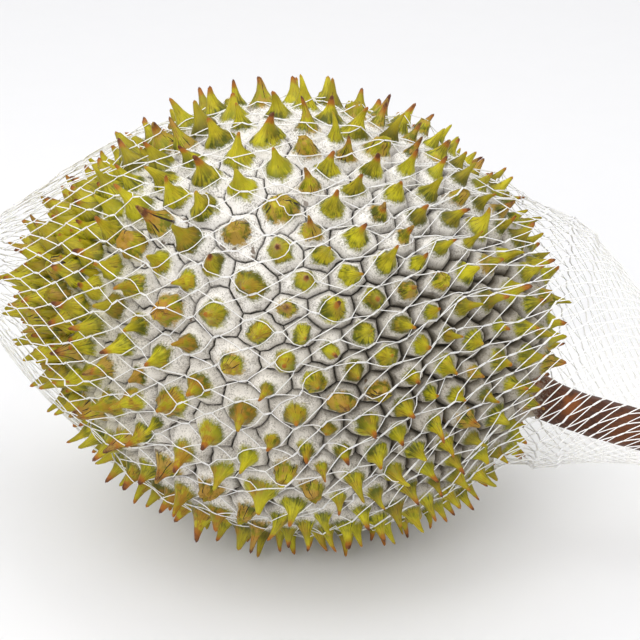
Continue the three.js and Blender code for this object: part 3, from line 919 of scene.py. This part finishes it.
def finish_yarns(paths, heart, along, collar_middle, collar_along):
    """Adds the ends of the yarns: a tuft past the knot, and a short frill past the collar."""
    count = len(paths)
    knot = paths[:, 0].mean(0)
    sideways = np.cross(along, ACROSS_TABLE)
    turn = np.arctan2(*((paths[:, 0] - knot) @ np.stack([sideways, ACROSS_TABLE]).T).T)
    picks = np.random.default_rng(3)
    radius = picks.permutation(np.sqrt((np.arange(count) + 0.5) / count) * BUNDLE * 0.95)
    hub = knot + (np.sin(turn) * radius)[:, None] * unit(sideways)
    hub = hub + (np.cos(turn) * radius)[:, None] * ACROSS_TABLE
    tuft = []
    for share in (1.0, 0.7, 0.4, 0.15):
        spread = 1 + 1.3 * share ** 1.5
        wave = picks.normal(0, 0.5 * MM, (count, 3)) * share
        length = picks.uniform(6, 10, count) * MM * share
        tuft.append(knot + (hub - knot) * spread - along * length[:, None] + wave)
    frill = []
    last = paths[:, -1]
    arm = unit(last - collar_middle - ((last - collar_middle) @ collar_along)[:, None] * collar_along)
    for share in (0.3, 0.65, 1.0):
        length = picks.uniform(4, 8, count) * MM * share
        wave = picks.normal(0, 0.4 * MM, (count, 3)) * share
        frill.append(last + collar_along * length[:, None] + arm * (1.6 * MM * share ** 1.5) + wave)
    pieces = [np.stack(tuft, axis=1), hub[:, None], paths[:, 1:], np.stack(frill, axis=1)]
    return np.concatenate(pieces, axis=1)


def build_net(paths, material):
    """All the yarns of the sleeve as one piece."""
    places, faces = tubes(paths, np.full(paths.shape[:2], YARN), YARN_SIDES)
    places[:, 2] = np.maximum(places[:, 2], 0.02 * MM)
    run = np.repeat((lengths_along(paths) / MM).reshape(-1), YARN_SIDES)
    lane = np.repeat(np.random.default_rng(4).random(len(paths)), paths.shape[1] * YARN_SIDES)
    return new_piece("net_yarns", places, faces, material, {"run": run, "lane": lane})


def square_to(axis):
    """Two directions square to an axis and to each other."""
    first = unit(np.cross(axis, UPWARD))
    return first, np.cross(axis, first)


def wound_cord(middle, axis, radius, turns, pitch, steps, wobble):
    """A cord wound round an axis."""
    axis = unit(axis)
    t = np.linspace(0, 1, steps)
    turn = t * turns * math.tau
    reach = (t - 0.5) * pitch * turns
    swell = radius * (1 + wobble * np.sin(turn * 1.37))
    return middle + spokes(turn, *square_to(axis)) * swell[:, None] + reach[:, None] * axis


def overhand(middle, axis, ring, tuck, turns, steps):
    """A cord that loops through and over itself in a round knot."""
    axis = unit(axis)
    t = np.linspace(0, math.tau, steps)
    roll = turns[1] * t
    radius = ring + tuck * np.cos(roll)
    arms = spokes(turns[0] * t, *square_to(axis))
    return middle + arms * radius[:, None] + (tuck * np.sin(roll))[:, None] * axis


def build_ties(knot, along, collar_middle, collar_along, collar_radius, material):
    """The knot at the blossom end, and the cord wound round the collar in two layers."""
    inner = collar_radius + 1.0 * MM
    outer = collar_radius + 1.9 * MM
    shifted = collar_middle + collar_along * 0.5 * MM
    paths = [
        (overhand(knot, along, 4.3 * MM, 1.5 * MM, (3, 5), 150), KNOT_CORD_RADIUS),
        (wound_cord(collar_middle, collar_along, inner, 4.3, 1.5 * MM, 190, 0.02), CORD_RADIUS),
        (wound_cord(shifted, collar_along, outer, 2.2, 2.1 * MM, 110, 0.03), CORD_RADIUS),
    ]
    places = []
    faces = []
    run = []
    for path, radius in paths:
        more, sides = tubes(path[None], np.full((1, len(path)), radius), CORD_SIDES)
        start = sum(len(p) for p in places)
        places.append(more)
        faces.extend([[i + start for i in face] for face in sides])
        run.append(np.repeat(lengths_along(path) / MM, CORD_SIDES))
    values = {"run": np.concatenate(run), "lane": np.full(sum(len(r) for r in run), 0.5)}
    return new_piece("net_ties", np.concatenate(places), faces, material, values)


# ---------------------------------------------------------------- shader building

def feed(tree, made, inputs):
    """Sets or links inputs of a node."""
    for key, value in inputs.items():
        if isinstance(value, bpy.types.NodeSocket):
            tree.links.new(value, made.inputs[key])
        else:
            made.inputs[key].default_value = value
    return made


def node(tree, kind, inputs=None, **settings):
    """Adds a shader node, with its settings and its inputs set or linked."""
    made = tree.nodes.new("ShaderNode" + kind)
    for key, value in settings.items():
        setattr(made, key, value)
    return feed(tree, made, inputs or {})


def maths(tree, operation, *values):
    """One step of arithmetic."""
    return node(tree, "Math", dict(enumerate(values)), operation=operation).outputs[0]


def times(tree, a, b):
    """Two values multiplied."""
    return maths(tree, "MULTIPLY", a, b)


def plus(tree, a, b):
    """Two values added."""
    return maths(tree, "ADD", a, b)


def swing(tree, value, middle, size):
    """How far a value is above or below its middle, times a size."""
    return times(tree, maths(tree, "SUBTRACT", value, middle), size)


def blend(tree, share, a, b, how="MIX"):
    """Two colours mixed."""
    made = node(tree, "Mix", {0: share, 6: a, 7: b}, data_type="RGBA", blend_type=how)
    return made.outputs[2]


def ramp(tree, value, low, high, first=0.0, last=1.0):
    """A soft step from first to last as value goes from low to high."""
    made = node(tree, "MapRange", {0: value, 1: low, 2: high, 3: first, 4: last})
    made.interpolation_type = "SMOOTHSTEP"
    return made.outputs[0]


def noise(tree, vector, scale, detail=2.0, roughness=0.5):
    """A cloudy value from about 0.3 to 0.7."""
    inputs = {"Vector": vector, "Scale": scale, "Detail": detail, "Roughness": roughness}
    return node(tree, "TexNoise", inputs).outputs[0]


def attribute(tree, name, vector=False):
    """A number or a vector that the geometry carries."""
    made = node(tree, "Attribute", attribute_name=name)
    return made.outputs["Vector" if vector else "Fac"]


def new_group(name, inputs, outputs):
    """An empty shader node group, with its input and output nodes."""
    group = bpy.data.node_groups.new(name, "ShaderNodeTree")
    for key, kind, value in inputs:
        socket = group.interface.new_socket(key, in_out="INPUT", socket_type="NodeSocket" + kind)
        if value is not None:
            socket.default_value = value
    for key, kind in outputs:
        group.interface.new_socket(key, in_out="OUTPUT", socket_type="NodeSocket" + kind)
    return group, group.nodes.new("NodeGroupInput"), group.nodes.new("NodeGroupOutput")


def flecks_group():
    """Small dark or pale flecks, gathered in patches."""
    group, given, result = new_group(
        "flecks",
        [("Vector", "Vector", None), ("Scale", "Float", 1000.0), ("Cover", "Float", 0.4),
         ("Softness", "Float", 0.08), ("Patchiness", "Float", 0.1)],
        [("Mask", "Float")])
    fine = noise(group, given.outputs["Vector"], given.outputs["Scale"], 3.0, 0.65)
    patch_scale = times(group, given.outputs["Scale"], 0.11)
    patches = noise(group, given.outputs["Vector"], patch_scale, 2.0, 0.5)
    shift = swing(group, patches, 0.5, given.outputs["Patchiness"])
    value = plus(group, fine, shift)
    low = maths(group, "SUBTRACT", given.outputs["Cover"], given.outputs["Softness"])
    high = plus(group, given.outputs["Cover"], given.outputs["Softness"])
    mask = ramp(group, value, low, high, 1.0, 0.0)
    group.links.new(mask, result.inputs["Mask"])
    return group


def fibres_group():
    """Long thin streaks that run up a cone or along a bar."""
    group, given, result = new_group(
        "long fibres",
        [("Direction", "Vector", None), ("Fineness", "Float", 8.0), ("Length", "Float", 0.15)],
        [("Streaks", "Float")])
    parts = node(group, "SeparateXYZ", {0: given.outputs["Direction"]})
    run = times(group, parts.outputs[2], given.outputs["Length"])
    packed = node(group, "CombineXYZ", {0: parts.outputs[0], 1: parts.outputs[1], 2: run})
    streaks = noise(group, packed.outputs[0], given.outputs["Fineness"], 3.0, 0.6)
    group.links.new(streaks, result.inputs["Streaks"])
    return group


def placed(tree, group, inputs):
    """A node group placed in a material with its own values."""
    made = tree.nodes.new("ShaderNodeGroup")
    made.node_tree = group
    return feed(tree, made, inputs).outputs[0]


def new_material(name):
    """A material with a bare Principled shader."""
    material = bpy.data.materials.new(name)
    material.use_nodes = True
    tree = material.node_tree
    return material, tree, tree.nodes["Principled BSDF"]


def object_place(tree):
    """The place in metres."""
    return node(tree, "TexCoord").outputs["Object"]


def bump(tree, height, distance, strength, below=None):
    """A surface made uneven by a height, on top of another if there is one."""
    inputs = {"Strength": strength, "Distance": distance, "Height": height}
    if below is not None:
        inputs["Normal"] = below
    return node(tree, "Bump", inputs).outputs[0]


# ---------------------------------------------------------------- materials

def husk_material(flecks, fibres):
    """Scaly pale plates with dark crevices, green fibrous cones and browned tips, with painted light on top
    and painted shade low down, toward the stalk and in the crevices.
    """
    material, tree, shader = new_material("durian husk")
    place = object_place(tree)
    direction = attribute(tree, "fibres", vector=True)
    rise, gap = attribute(tree, "rise"), attribute(tree, "gap")
    tone, scab = attribute(tree, "tone"), attribute(tree, "scab")
    start, stalkward = attribute(tree, "green"), attribute(tree, "stalkward")

    cloudy = noise(tree, place, 90.0, 3.0)
    pale = blend(tree, cloudy, (0.68, 0.64, 0.575, 1), (0.93, 0.89, 0.83, 1))
    above_table = node(tree, "SeparateXYZ", {0: place}).outputs[2]
    # Plates painted whiter toward the top: painted light from above.
    pale = blend(tree, ramp(tree, above_table, 0.11, 0.17, 0.0, 0.9), pale, (0.985, 0.96, 0.925, 1))
    # Plates painted darker low down and toward the stalk: painted shade.
    lowness = ramp(tree, above_table, 0.125, 0.175, 1.0, 0.25)
    shaded = times(tree, ramp(tree, stalkward, 0.15, 0.80), lowness)
    plate_painted_shade = blend(tree, shaded, pale, (0.59, 0.57, 0.53, 1), "MULTIPLY")
    dots = placed(tree, flecks, {"Vector": place, "Scale": 1500.0, "Cover": 0.42, "Softness": 0.08,
                                 "Patchiness": 0.42})
    speckled = blend(tree, times(tree, dots, 0.55), plate_painted_shade, (0.125, 0.10, 0.065, 1))
    tinge = times(tree, ramp(tree, stalkward, -0.25, -0.85), ramp(tree, cloudy, 0.3, 0.6, 0.4, 0.9))
    speckled = blend(tree, tinge, speckled, (0.56, 0.53, 0.20, 1))
    rays = placed(tree, fibres, {"Direction": direction, "Fineness": 22.0, "Length": 0.10})
    ray_mask = times(tree, ramp(tree, rays, 0.54, 0.70), 0.36)
    plate = blend(tree, ray_mask, speckled, (0.17, 0.14, 0.09, 1))
    raggedness = noise(tree, place, 850.0, 3.0, 0.65)
    crack = plus(tree, gap, swing(tree, raggedness, 0.3, 1.1))
    crack = ramp(tree, crack, 0.34, 0.92, 1.0, 0.0)
    # Plate slopes by the crevices painted dark, more toward the stalk, low down and on the underside:
    # painted shade in the valleys between cells.
    slopes = ramp(tree, gap, 0.6, 2.0, 1.0, 0.0)
    valley_painted_shade = times(tree, slopes, ramp(tree, stalkward, 0.0, 0.6, 0.26, 0.95))
    valley_painted_shade = times(tree, valley_painted_shade, ramp(tree, lowness, 0.25, 1.0, 0.6, 1.0))
    underside_painted_shade = times(tree, slopes, ramp(tree, above_table, 0.04, 0.11, 0.92, 0.0))
    valley_painted_shade = maths(tree, "MAXIMUM", valley_painted_shade, underside_painted_shade)
    plate = blend(tree, valley_painted_shade, plate, (0.095, 0.078, 0.052, 1))
    # Crevices painted near black: partly their own dark colour, partly painted shade in the grooves.
    deep = ramp(tree, noise(tree, place, 45.0, 1.0), 0.3, 0.6, 0.55, 1.0)
    plate = blend(tree, times(tree, crack, deep), plate, (0.030, 0.026, 0.020, 1))
    flaw = times(tree, ramp(tree, scab, 0.6, 0.9), ramp(tree, noise(tree, place, 260.0, 3.0), 0.58, 0.66))
    plate = blend(tree, times(tree, flaw, 0.8), plate, (0.10, 0.055, 0.02, 1))

    streaks = placed(tree, fibres, {"Direction": direction, "Fineness": 4.5, "Length": 0.22})
    coarse = noise(tree, place, 300.0, 3.0, 0.6)
    blotchy = noise(tree, place, 150.0, 3.0, 0.6)
    lights = plus(tree, times(tree, streaks, 0.45), times(tree, blotchy, 0.55))
    olive = blend(tree, ramp(tree, lights, 0.42, 0.59), (0.060, 0.072, 0.004, 1), (0.55, 0.505, 0.014, 1))
    mixed = blend(tree, ramp(tree, tone, 0.45, 1.0, 0.0, 0.45), olive, (0.51, 0.48, 0.016, 1))
    mixed = blend(tree, ramp(tree, tone, 0.0, 0.40, 0.70, 0.0), mixed, (0.10, 0.082, 0.006, 1))
    height = maths(tree, "SUBTRACT", rise, start)
    foot = times(tree, ramp(tree, height, 0.02, 0.20, 1.0, 0.0), ramp(tree, lights, 0.40, 0.60, 0.85, 0.3))
    mixed = blend(tree, foot, mixed, (0.085, 0.098, 0.006, 1))
    upper = ramp(tree, height, 0.12, 0.5)
    cone = blend(tree, times(tree, upper, 0.45), mixed, (0.58, 0.475, 0.016, 1))
    rusty = noise(tree, place, 55.0, 2.0)
    rusty = times(tree, ramp(tree, rusty, 0.39, 0.53), ramp(tree, height, 0.0, 0.18))
    rusty = times(tree, rusty, ramp(tree, coarse, 0.40, 0.58))
    rusty = times(tree, rusty, ramp(tree, stalkward, -0.05, 0.45, 1.0, 0.45))
    rusty = times(tree, rusty, ramp(tree, stalkward, -0.25, -0.6, 1.0, 0.40))
    rusty = times(tree, rusty, lowness)
    cone = blend(tree, times(tree, rusty, 0.85), cone, (0.33, 0.15, 0.014, 1))
    browned = plus(tree, rise, swing(tree, coarse, 0.5, 0.35))
    browned = plus(tree, browned, times(tree, scab, 0.26))
    wear = maths(tree, "FRACT", times(tree, tone, 7.31))
    browned = plus(tree, browned, swing(tree, wear, 0.62, 0.30))
    threads = times(tree, ramp(tree, streaks, 0.55, 0.63), ramp(tree, coarse, 0.40, 0.60, 0.25, 0.75))
    cone = blend(tree, threads, cone, (0.085, 0.055, 0.008, 1))
    tip = ramp(tree, browned, 0.78, 0.96)
    cone = blend(tree, tip, cone, (0.36, 0.125, 0.014, 1))
    cone = blend(tree, ramp(tree, browned, 0.95, 1.08), cone, (0.12, 0.038, 0.014, 1))
    scabby = times(tree, ramp(tree, scab, 0.4, 0.6), ramp(tree, coarse, 0.42, 0.60))
    cone = blend(tree, times(tree, scabby, 0.8), cone, (0.40, 0.24, 0.04, 1))
    split = times(tree, ramp(tree, scab, 0.4, 0.7), ramp(tree, streaks, 0.57, 0.63))
    cone = blend(tree, split, cone, (0.025, 0.015, 0.008, 1))

    frayed = swing(tree, rays, 0.5, 0.05)
    frayed = plus(tree, frayed, swing(tree, coarse, 0.5, 0.14))
    grainy = noise(tree, place, 1300.0, 2.0, 0.6)
    frayed = plus(tree, frayed, swing(tree, grainy, 0.5, 0.20))
    edge = plus(tree, height, frayed)
    cone_mask = ramp(tree, edge, -0.06, 0.09)
    colour = blend(tree, cone_mask, plate, cone)
    tree.links.new(colour, shader.inputs["Base Color"])

    roughness = ramp(tree, cone_mask, 0.0, 1.0, 0.85, 0.42)
    roughness = plus(tree, roughness, swing(tree, coarse, 0.5, 0.3))
    tree.links.new(roughness, shader.inputs["Roughness"])

    scales = noise(tree, place, 1300.0, 3.0, 0.7)
    fuzz = times(tree, maths(tree, "SUBTRACT", 1.0, cone_mask), scales)
    grain = times(tree, cone_mask, streaks)
    relief = bump(tree, fuzz, 0.35 * MM, 0.8)
    relief = bump(tree, grain, 0.40 * MM, 0.6, relief)
    tree.links.new(relief, shader.inputs["Normal"])
    shader.inputs["Specular IOR Level"].default_value = 0.22
    return material


def stalk_material(flecks, fibres):
    """Smooth brown bark with pale pores and scales, and a dry ringed cut face."""
    material, tree, shader = new_material("stalk bark")
    place = object_place(tree)
    direction = attribute(tree, "grain", vector=True)
    along = attribute(tree, "along_stalk")
    cut = attribute(tree, "cut_face")
    pith = attribute(tree, "toward_pith")

    cloudy = noise(tree, place, 70.0, 3.0)
    grain = placed(tree, fibres, {"Direction": direction, "Fineness": 6.0, "Length": 0.35})
    brown = blend(tree, cloudy, (0.030, 0.011, 0.006, 1), (0.110, 0.033, 0.011, 1))
    brown = blend(tree, ramp(tree, grain, 0.4, 0.75, 0.0, 0.8), brown, (0.140, 0.046, 0.016, 1))
    foxy = times(tree, ramp(tree, along, 0.05, 0.40, 0.85, 0.15), ramp(tree, cloudy, 0.5, 0.65))
    brown = blend(tree, foxy, brown, (0.32, 0.095, 0.014, 1))
    pores = placed(tree, flecks, {"Vector": place, "Scale": 620.0, "Cover": 0.33, "Softness": 0.03,
                                  "Patchiness": 0.15})
    bark = blend(tree, times(tree, pores, 0.35), brown, (0.30, 0.15, 0.08, 1))
    specks = placed(tree, flecks, {"Vector": place, "Scale": 1400.0, "Cover": 0.36, "Softness": 0.05,
                                   "Patchiness": 0.2})
    bark = blend(tree, times(tree, specks, 0.7), bark, (0.022, 0.010, 0.007, 1))
    scales = noise(tree, place, 800.0, 3.0, 0.7)
    foot = plus(tree, along, swing(tree, scales, 0.5, 0.16))
    bark = blend(tree, ramp(tree, foot, 0.03, 0.11, 0.85, 0.0), bark, (0.52, 0.47, 0.38, 1))

    rings = maths(tree, "SINE", times(tree, pith, 42.0))
    rings = plus(tree, rings, times(tree, scales, 1.6))
    wood = blend(tree, ramp(tree, rings, -0.5, 2.2), (0.30, 0.19, 0.10, 1), (0.56, 0.43, 0.27, 1))
    wood = blend(tree, ramp(tree, pith, 0.78, 0.92), wood, (0.20, 0.12, 0.06, 1))
    wood = blend(tree, ramp(tree, pith, 0.0, 0.16, 1.0, 0.0), wood, (0.11, 0.05, 0.03, 1))
    colour = blend(tree, cut, bark, wood)
    tree.links.new(colour, shader.inputs["Base Color"])
    roughness = ramp(tree, cut, 0.0, 1.0, 0.48, 0.85)
    roughness = plus(tree, roughness, swing(tree, scales, 0.5, 0.3))
    tree.links.new(roughness, shader.inputs["Roughness"])
    relief = plus(tree, times(tree, grain, 0.6), times(tree, scales, 0.4))
    relief = plus(tree, relief, times(tree, pores, 0.4))
    tree.links.new(bump(tree, relief, 0.35 * MM, 0.8), shader.inputs["Normal"])
    shader.inputs["Specular IOR Level"].default_value = 0.25
    return material


def net_material(name, flecks, glowing_tail=False):
    """Thin white plastic yarn with a fine twist, and a painted glow in the slack tail."""
    material, tree, shader = new_material(name)
    place = object_place(tree)
    run, lane = attribute(tree, "run"), attribute(tree, "lane")
    cloudy = noise(tree, place, 60.0, 2.0)
    white = blend(tree, cloudy, (0.90, 0.89, 0.86, 1), (0.97, 0.965, 0.95, 1))
    white = blend(tree, times(tree, lane, 0.25), white, (0.93, 0.92, 0.88, 1))
    dust = placed(tree, flecks, {"Vector": place, "Scale": 900.0, "Cover": 0.30, "Softness": 0.06,
                                 "Patchiness": 0.2})
    white = blend(tree, times(tree, dust, 0.3), white, (0.55, 0.50, 0.40, 1))
    tree.links.new(white, shader.inputs["Base Color"])
    twist = maths(tree, "SINE", times(tree, run, 5.2))
    tree.links.new(ramp(tree, twist, -1.0, 1.0, 0.30, 0.44), shader.inputs["Roughness"])
    tree.links.new(bump(tree, twist, 0.06 * MM, 0.5), shader.inputs["Normal"])
    shader.inputs["Specular IOR Level"].default_value = 0.5
    shader.inputs["Subsurface Weight"].default_value = 0.7
    shader.inputs["Subsurface Radius"].default_value = (1.0, 1.0, 0.9)
    shader.inputs["Subsurface Scale"].default_value = 0.0006
    if glowing_tail:
        # The slack tail glows faintly: painted light that brightens its strands.
        stalkward = node(tree, "SeparateXYZ", {0: place}).outputs[0]
        slack = ramp(tree, stalkward, 0.080, 0.115)
        painted_tail_glow = blend(tree, slack, (0, 0, 0, 1), (0.145, 0.145, 0.140, 1))
        tree.links.new(painted_tail_glow, shader.inputs["Emission Color"])
        shader.inputs["Emission Strength"].default_value = 1.0
    return material


def floor_material():
    """A pale matt tabletop, lighter near the fruit and painted darker further out: painted shade."""
    material, tree, shader = new_material("pale tabletop")
    place = object_place(tree)
    grain = noise(tree, place, 40.0, 3.0)
    near = blend(tree, grain, (0.92, 0.92, 0.925, 1), (0.935, 0.935, 0.94, 1))
    far = blend(tree, grain, (0.80, 0.80, 0.812, 1), (0.815, 0.815, 0.827, 1))
    middle = {0: place, 1: (0, 0.06, 0)}
    distance = node(tree, "VectorMath", middle, operation="DISTANCE").outputs["Value"]
    # Floor painted darker away from the fruit: painted shade standing in for the lamps' falloff.
    tone = blend(tree, ramp(tree, distance, 0.12, 0.185), near, far)
    tree.links.new(tone, shader.inputs["Base Color"])
    shader.inputs["Roughness"].default_value = 0.55
    shader.inputs["Specular IOR Level"].default_value = 0.25
    return material


# ---------------------------------------------------------------- stage

def build_stage():
    """A wide pale tabletop that curves up into its own backdrop on every side."""
    bends = [math.radians(a) for a in range(15, 91, 15)]
    radii = FLAT_RINGS + [FLAT_RINGS[-1] + BACKDROP_RISE * math.sin(a) for a in bends]
    heights = [0.0] * len(FLAT_RINGS) + [BACKDROP_RISE * (1 - math.cos(a)) for a in bends]
    points = [(0, 0, 0)]
    faces = []
    ring = None
    for radius, height in zip(radii, heights):
        fresh = list(range(len(points), len(points) + STAGE_SIDES))
        for i in range(STAGE_SIDES):
            turn = i * math.tau / STAGE_SIDES
            points.append((radius * math.cos(turn), radius * math.sin(turn), height))
        faces += band(fresh, ring) if ring else cap(fresh, 0)
        ring = fresh
    mesh = bpy.data.meshes.new("tabletop")
    mesh.from_pydata(points, [], faces)
    mesh.shade_smooth()
    mesh.materials.append(floor_material())
    tabletop = bpy.data.objects.new("tabletop", mesh)
    bpy.context.scene.collection.objects.link(tabletop)


def soft_light(name, place, target, size, power):
    """A large soft lamp aimed at a point."""
    data = bpy.data.lights.new(name, "AREA")
    data.shape = "DISK"
    data.size = size
    data.energy = power
    lamp = bpy.data.objects.new(name, data)
    lamp.location = place
    lamp.rotation_euler = (Vector(target) - Vector(place)).to_track_quat("-Z", "Y").to_euler()
    bpy.context.scene.collection.objects.link(lamp)


def light_stage():
    """Even white light from all round, with two large soft lamps."""
    scene = bpy.context.scene
    world = bpy.data.worlds.new("studio air")
    world.use_nodes = True
    air = world.node_tree.nodes["Background"]
    air.inputs["Color"].default_value = (1.0, 1.0, 1.0, 1)
    air.inputs["Strength"].default_value = 0.96
    scene.world = world
    soft_light("overhead_soft", (-0.15, -0.10, 1.2), (0, 0, 0.08), 1.0, 4.5)
    soft_light("front_soft", (-0.1, -1.7, 1.4), (0, 0, 0.06), 1.0, 12)
    scene.view_settings.view_transform = "Standard"


def place_camera():
    """The camera, turned round the fruit and looking down at it."""
    level = math.cos(CAMERA_ELEVATION)
    back = Vector((math.sin(CAMERA_AZIMUTH) * level, -math.cos(CAMERA_AZIMUTH) * level,
                   math.sin(CAMERA_ELEVATION)))
    data = bpy.data.cameras.new("studio_camera")
    data.lens = LENS
    data.sensor_width = 36
    data.shift_x, data.shift_y = SHIFT
    data.clip_start = 0.01
    data.clip_end = 30
    camera = bpy.data.objects.new("studio_camera", data)
    camera.location = LOOK_AT + back * CAMERA_DISTANCE
    camera.rotation_euler = (-back).to_track_quat("-Z", "Y").to_euler()
    bpy.context.scene.collection.objects.link(camera)
    bpy.context.scene.camera = camera


# ---------------------------------------------------------------- assembly

place_camera()
build_stage()
light_stage()

flecks = flecks_group()
fibres = fibres_group()

corner_points, cells = husk_cells()
rim_points = np.array([corner_points[i] for cell in cells for i in cell["ring"]])
heart, along = long_axis(rim_points)
husk = build_husk(corner_points, cells, heart, along, husk_material(flecks, fibres))
stalk_middles, stalk_radii = stalk_sections()
stalk = build_stalk(stalk_middles, stalk_radii, stalk_material(flecks, fibres))

across = unit(np.cross(UPWARD, along))
up = np.cross(along, across)
spot = COLLAR_AT * (len(stalk_middles) - 1)
collar_middle = stalk_middles[int(spot)]
collar_along = unit(stalk_middles[int(spot) + 2] - stalk_middles[int(spot) - 2])
collar_radius = stalk_radii[int(spot)] + COLLAR_GAP
skin = base_tree(corner_points, cells)
profile = taut_profile(skin, heart, along, across, up, (collar_middle - heart) @ along, collar_radius)
net_places, joints, strands, strand = lay_net(profile, heart, along, across, up, collar_middle)
places = [tuple(v.co) for v in husk.data.vertices]
faces = [tuple(p.vertices) for p in husk.data.polygons]
count = len(places)
places += [tuple(v.co) for v in stalk.data.vertices]
faces += [tuple(i + count for i in p.vertices) for p in stalk.data.polygons]
solid = BVHTree.FromPolygons(places, faces)
net_places = settle_net(net_places, joints, strands, strand, solid, heart, along)
paths = yarn_paths(net_places, joints, strands, heart, along)
paths = finish_yarns(paths, heart, along, collar_middle, collar_along)
net = build_net(paths, net_material("white net yarn", flecks, glowing_tail=True))
ties = build_ties(net_places[joints[0]].reshape(-1, 3).mean(0), along, collar_middle, collar_along,
                  collar_radius, net_material("white tie cord", flecks))

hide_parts("husk")
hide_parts("stem")
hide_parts("net_sleeve")
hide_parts("net_sleeve")
for piece in (husk, stalk, net, ties):
    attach(piece, "root")
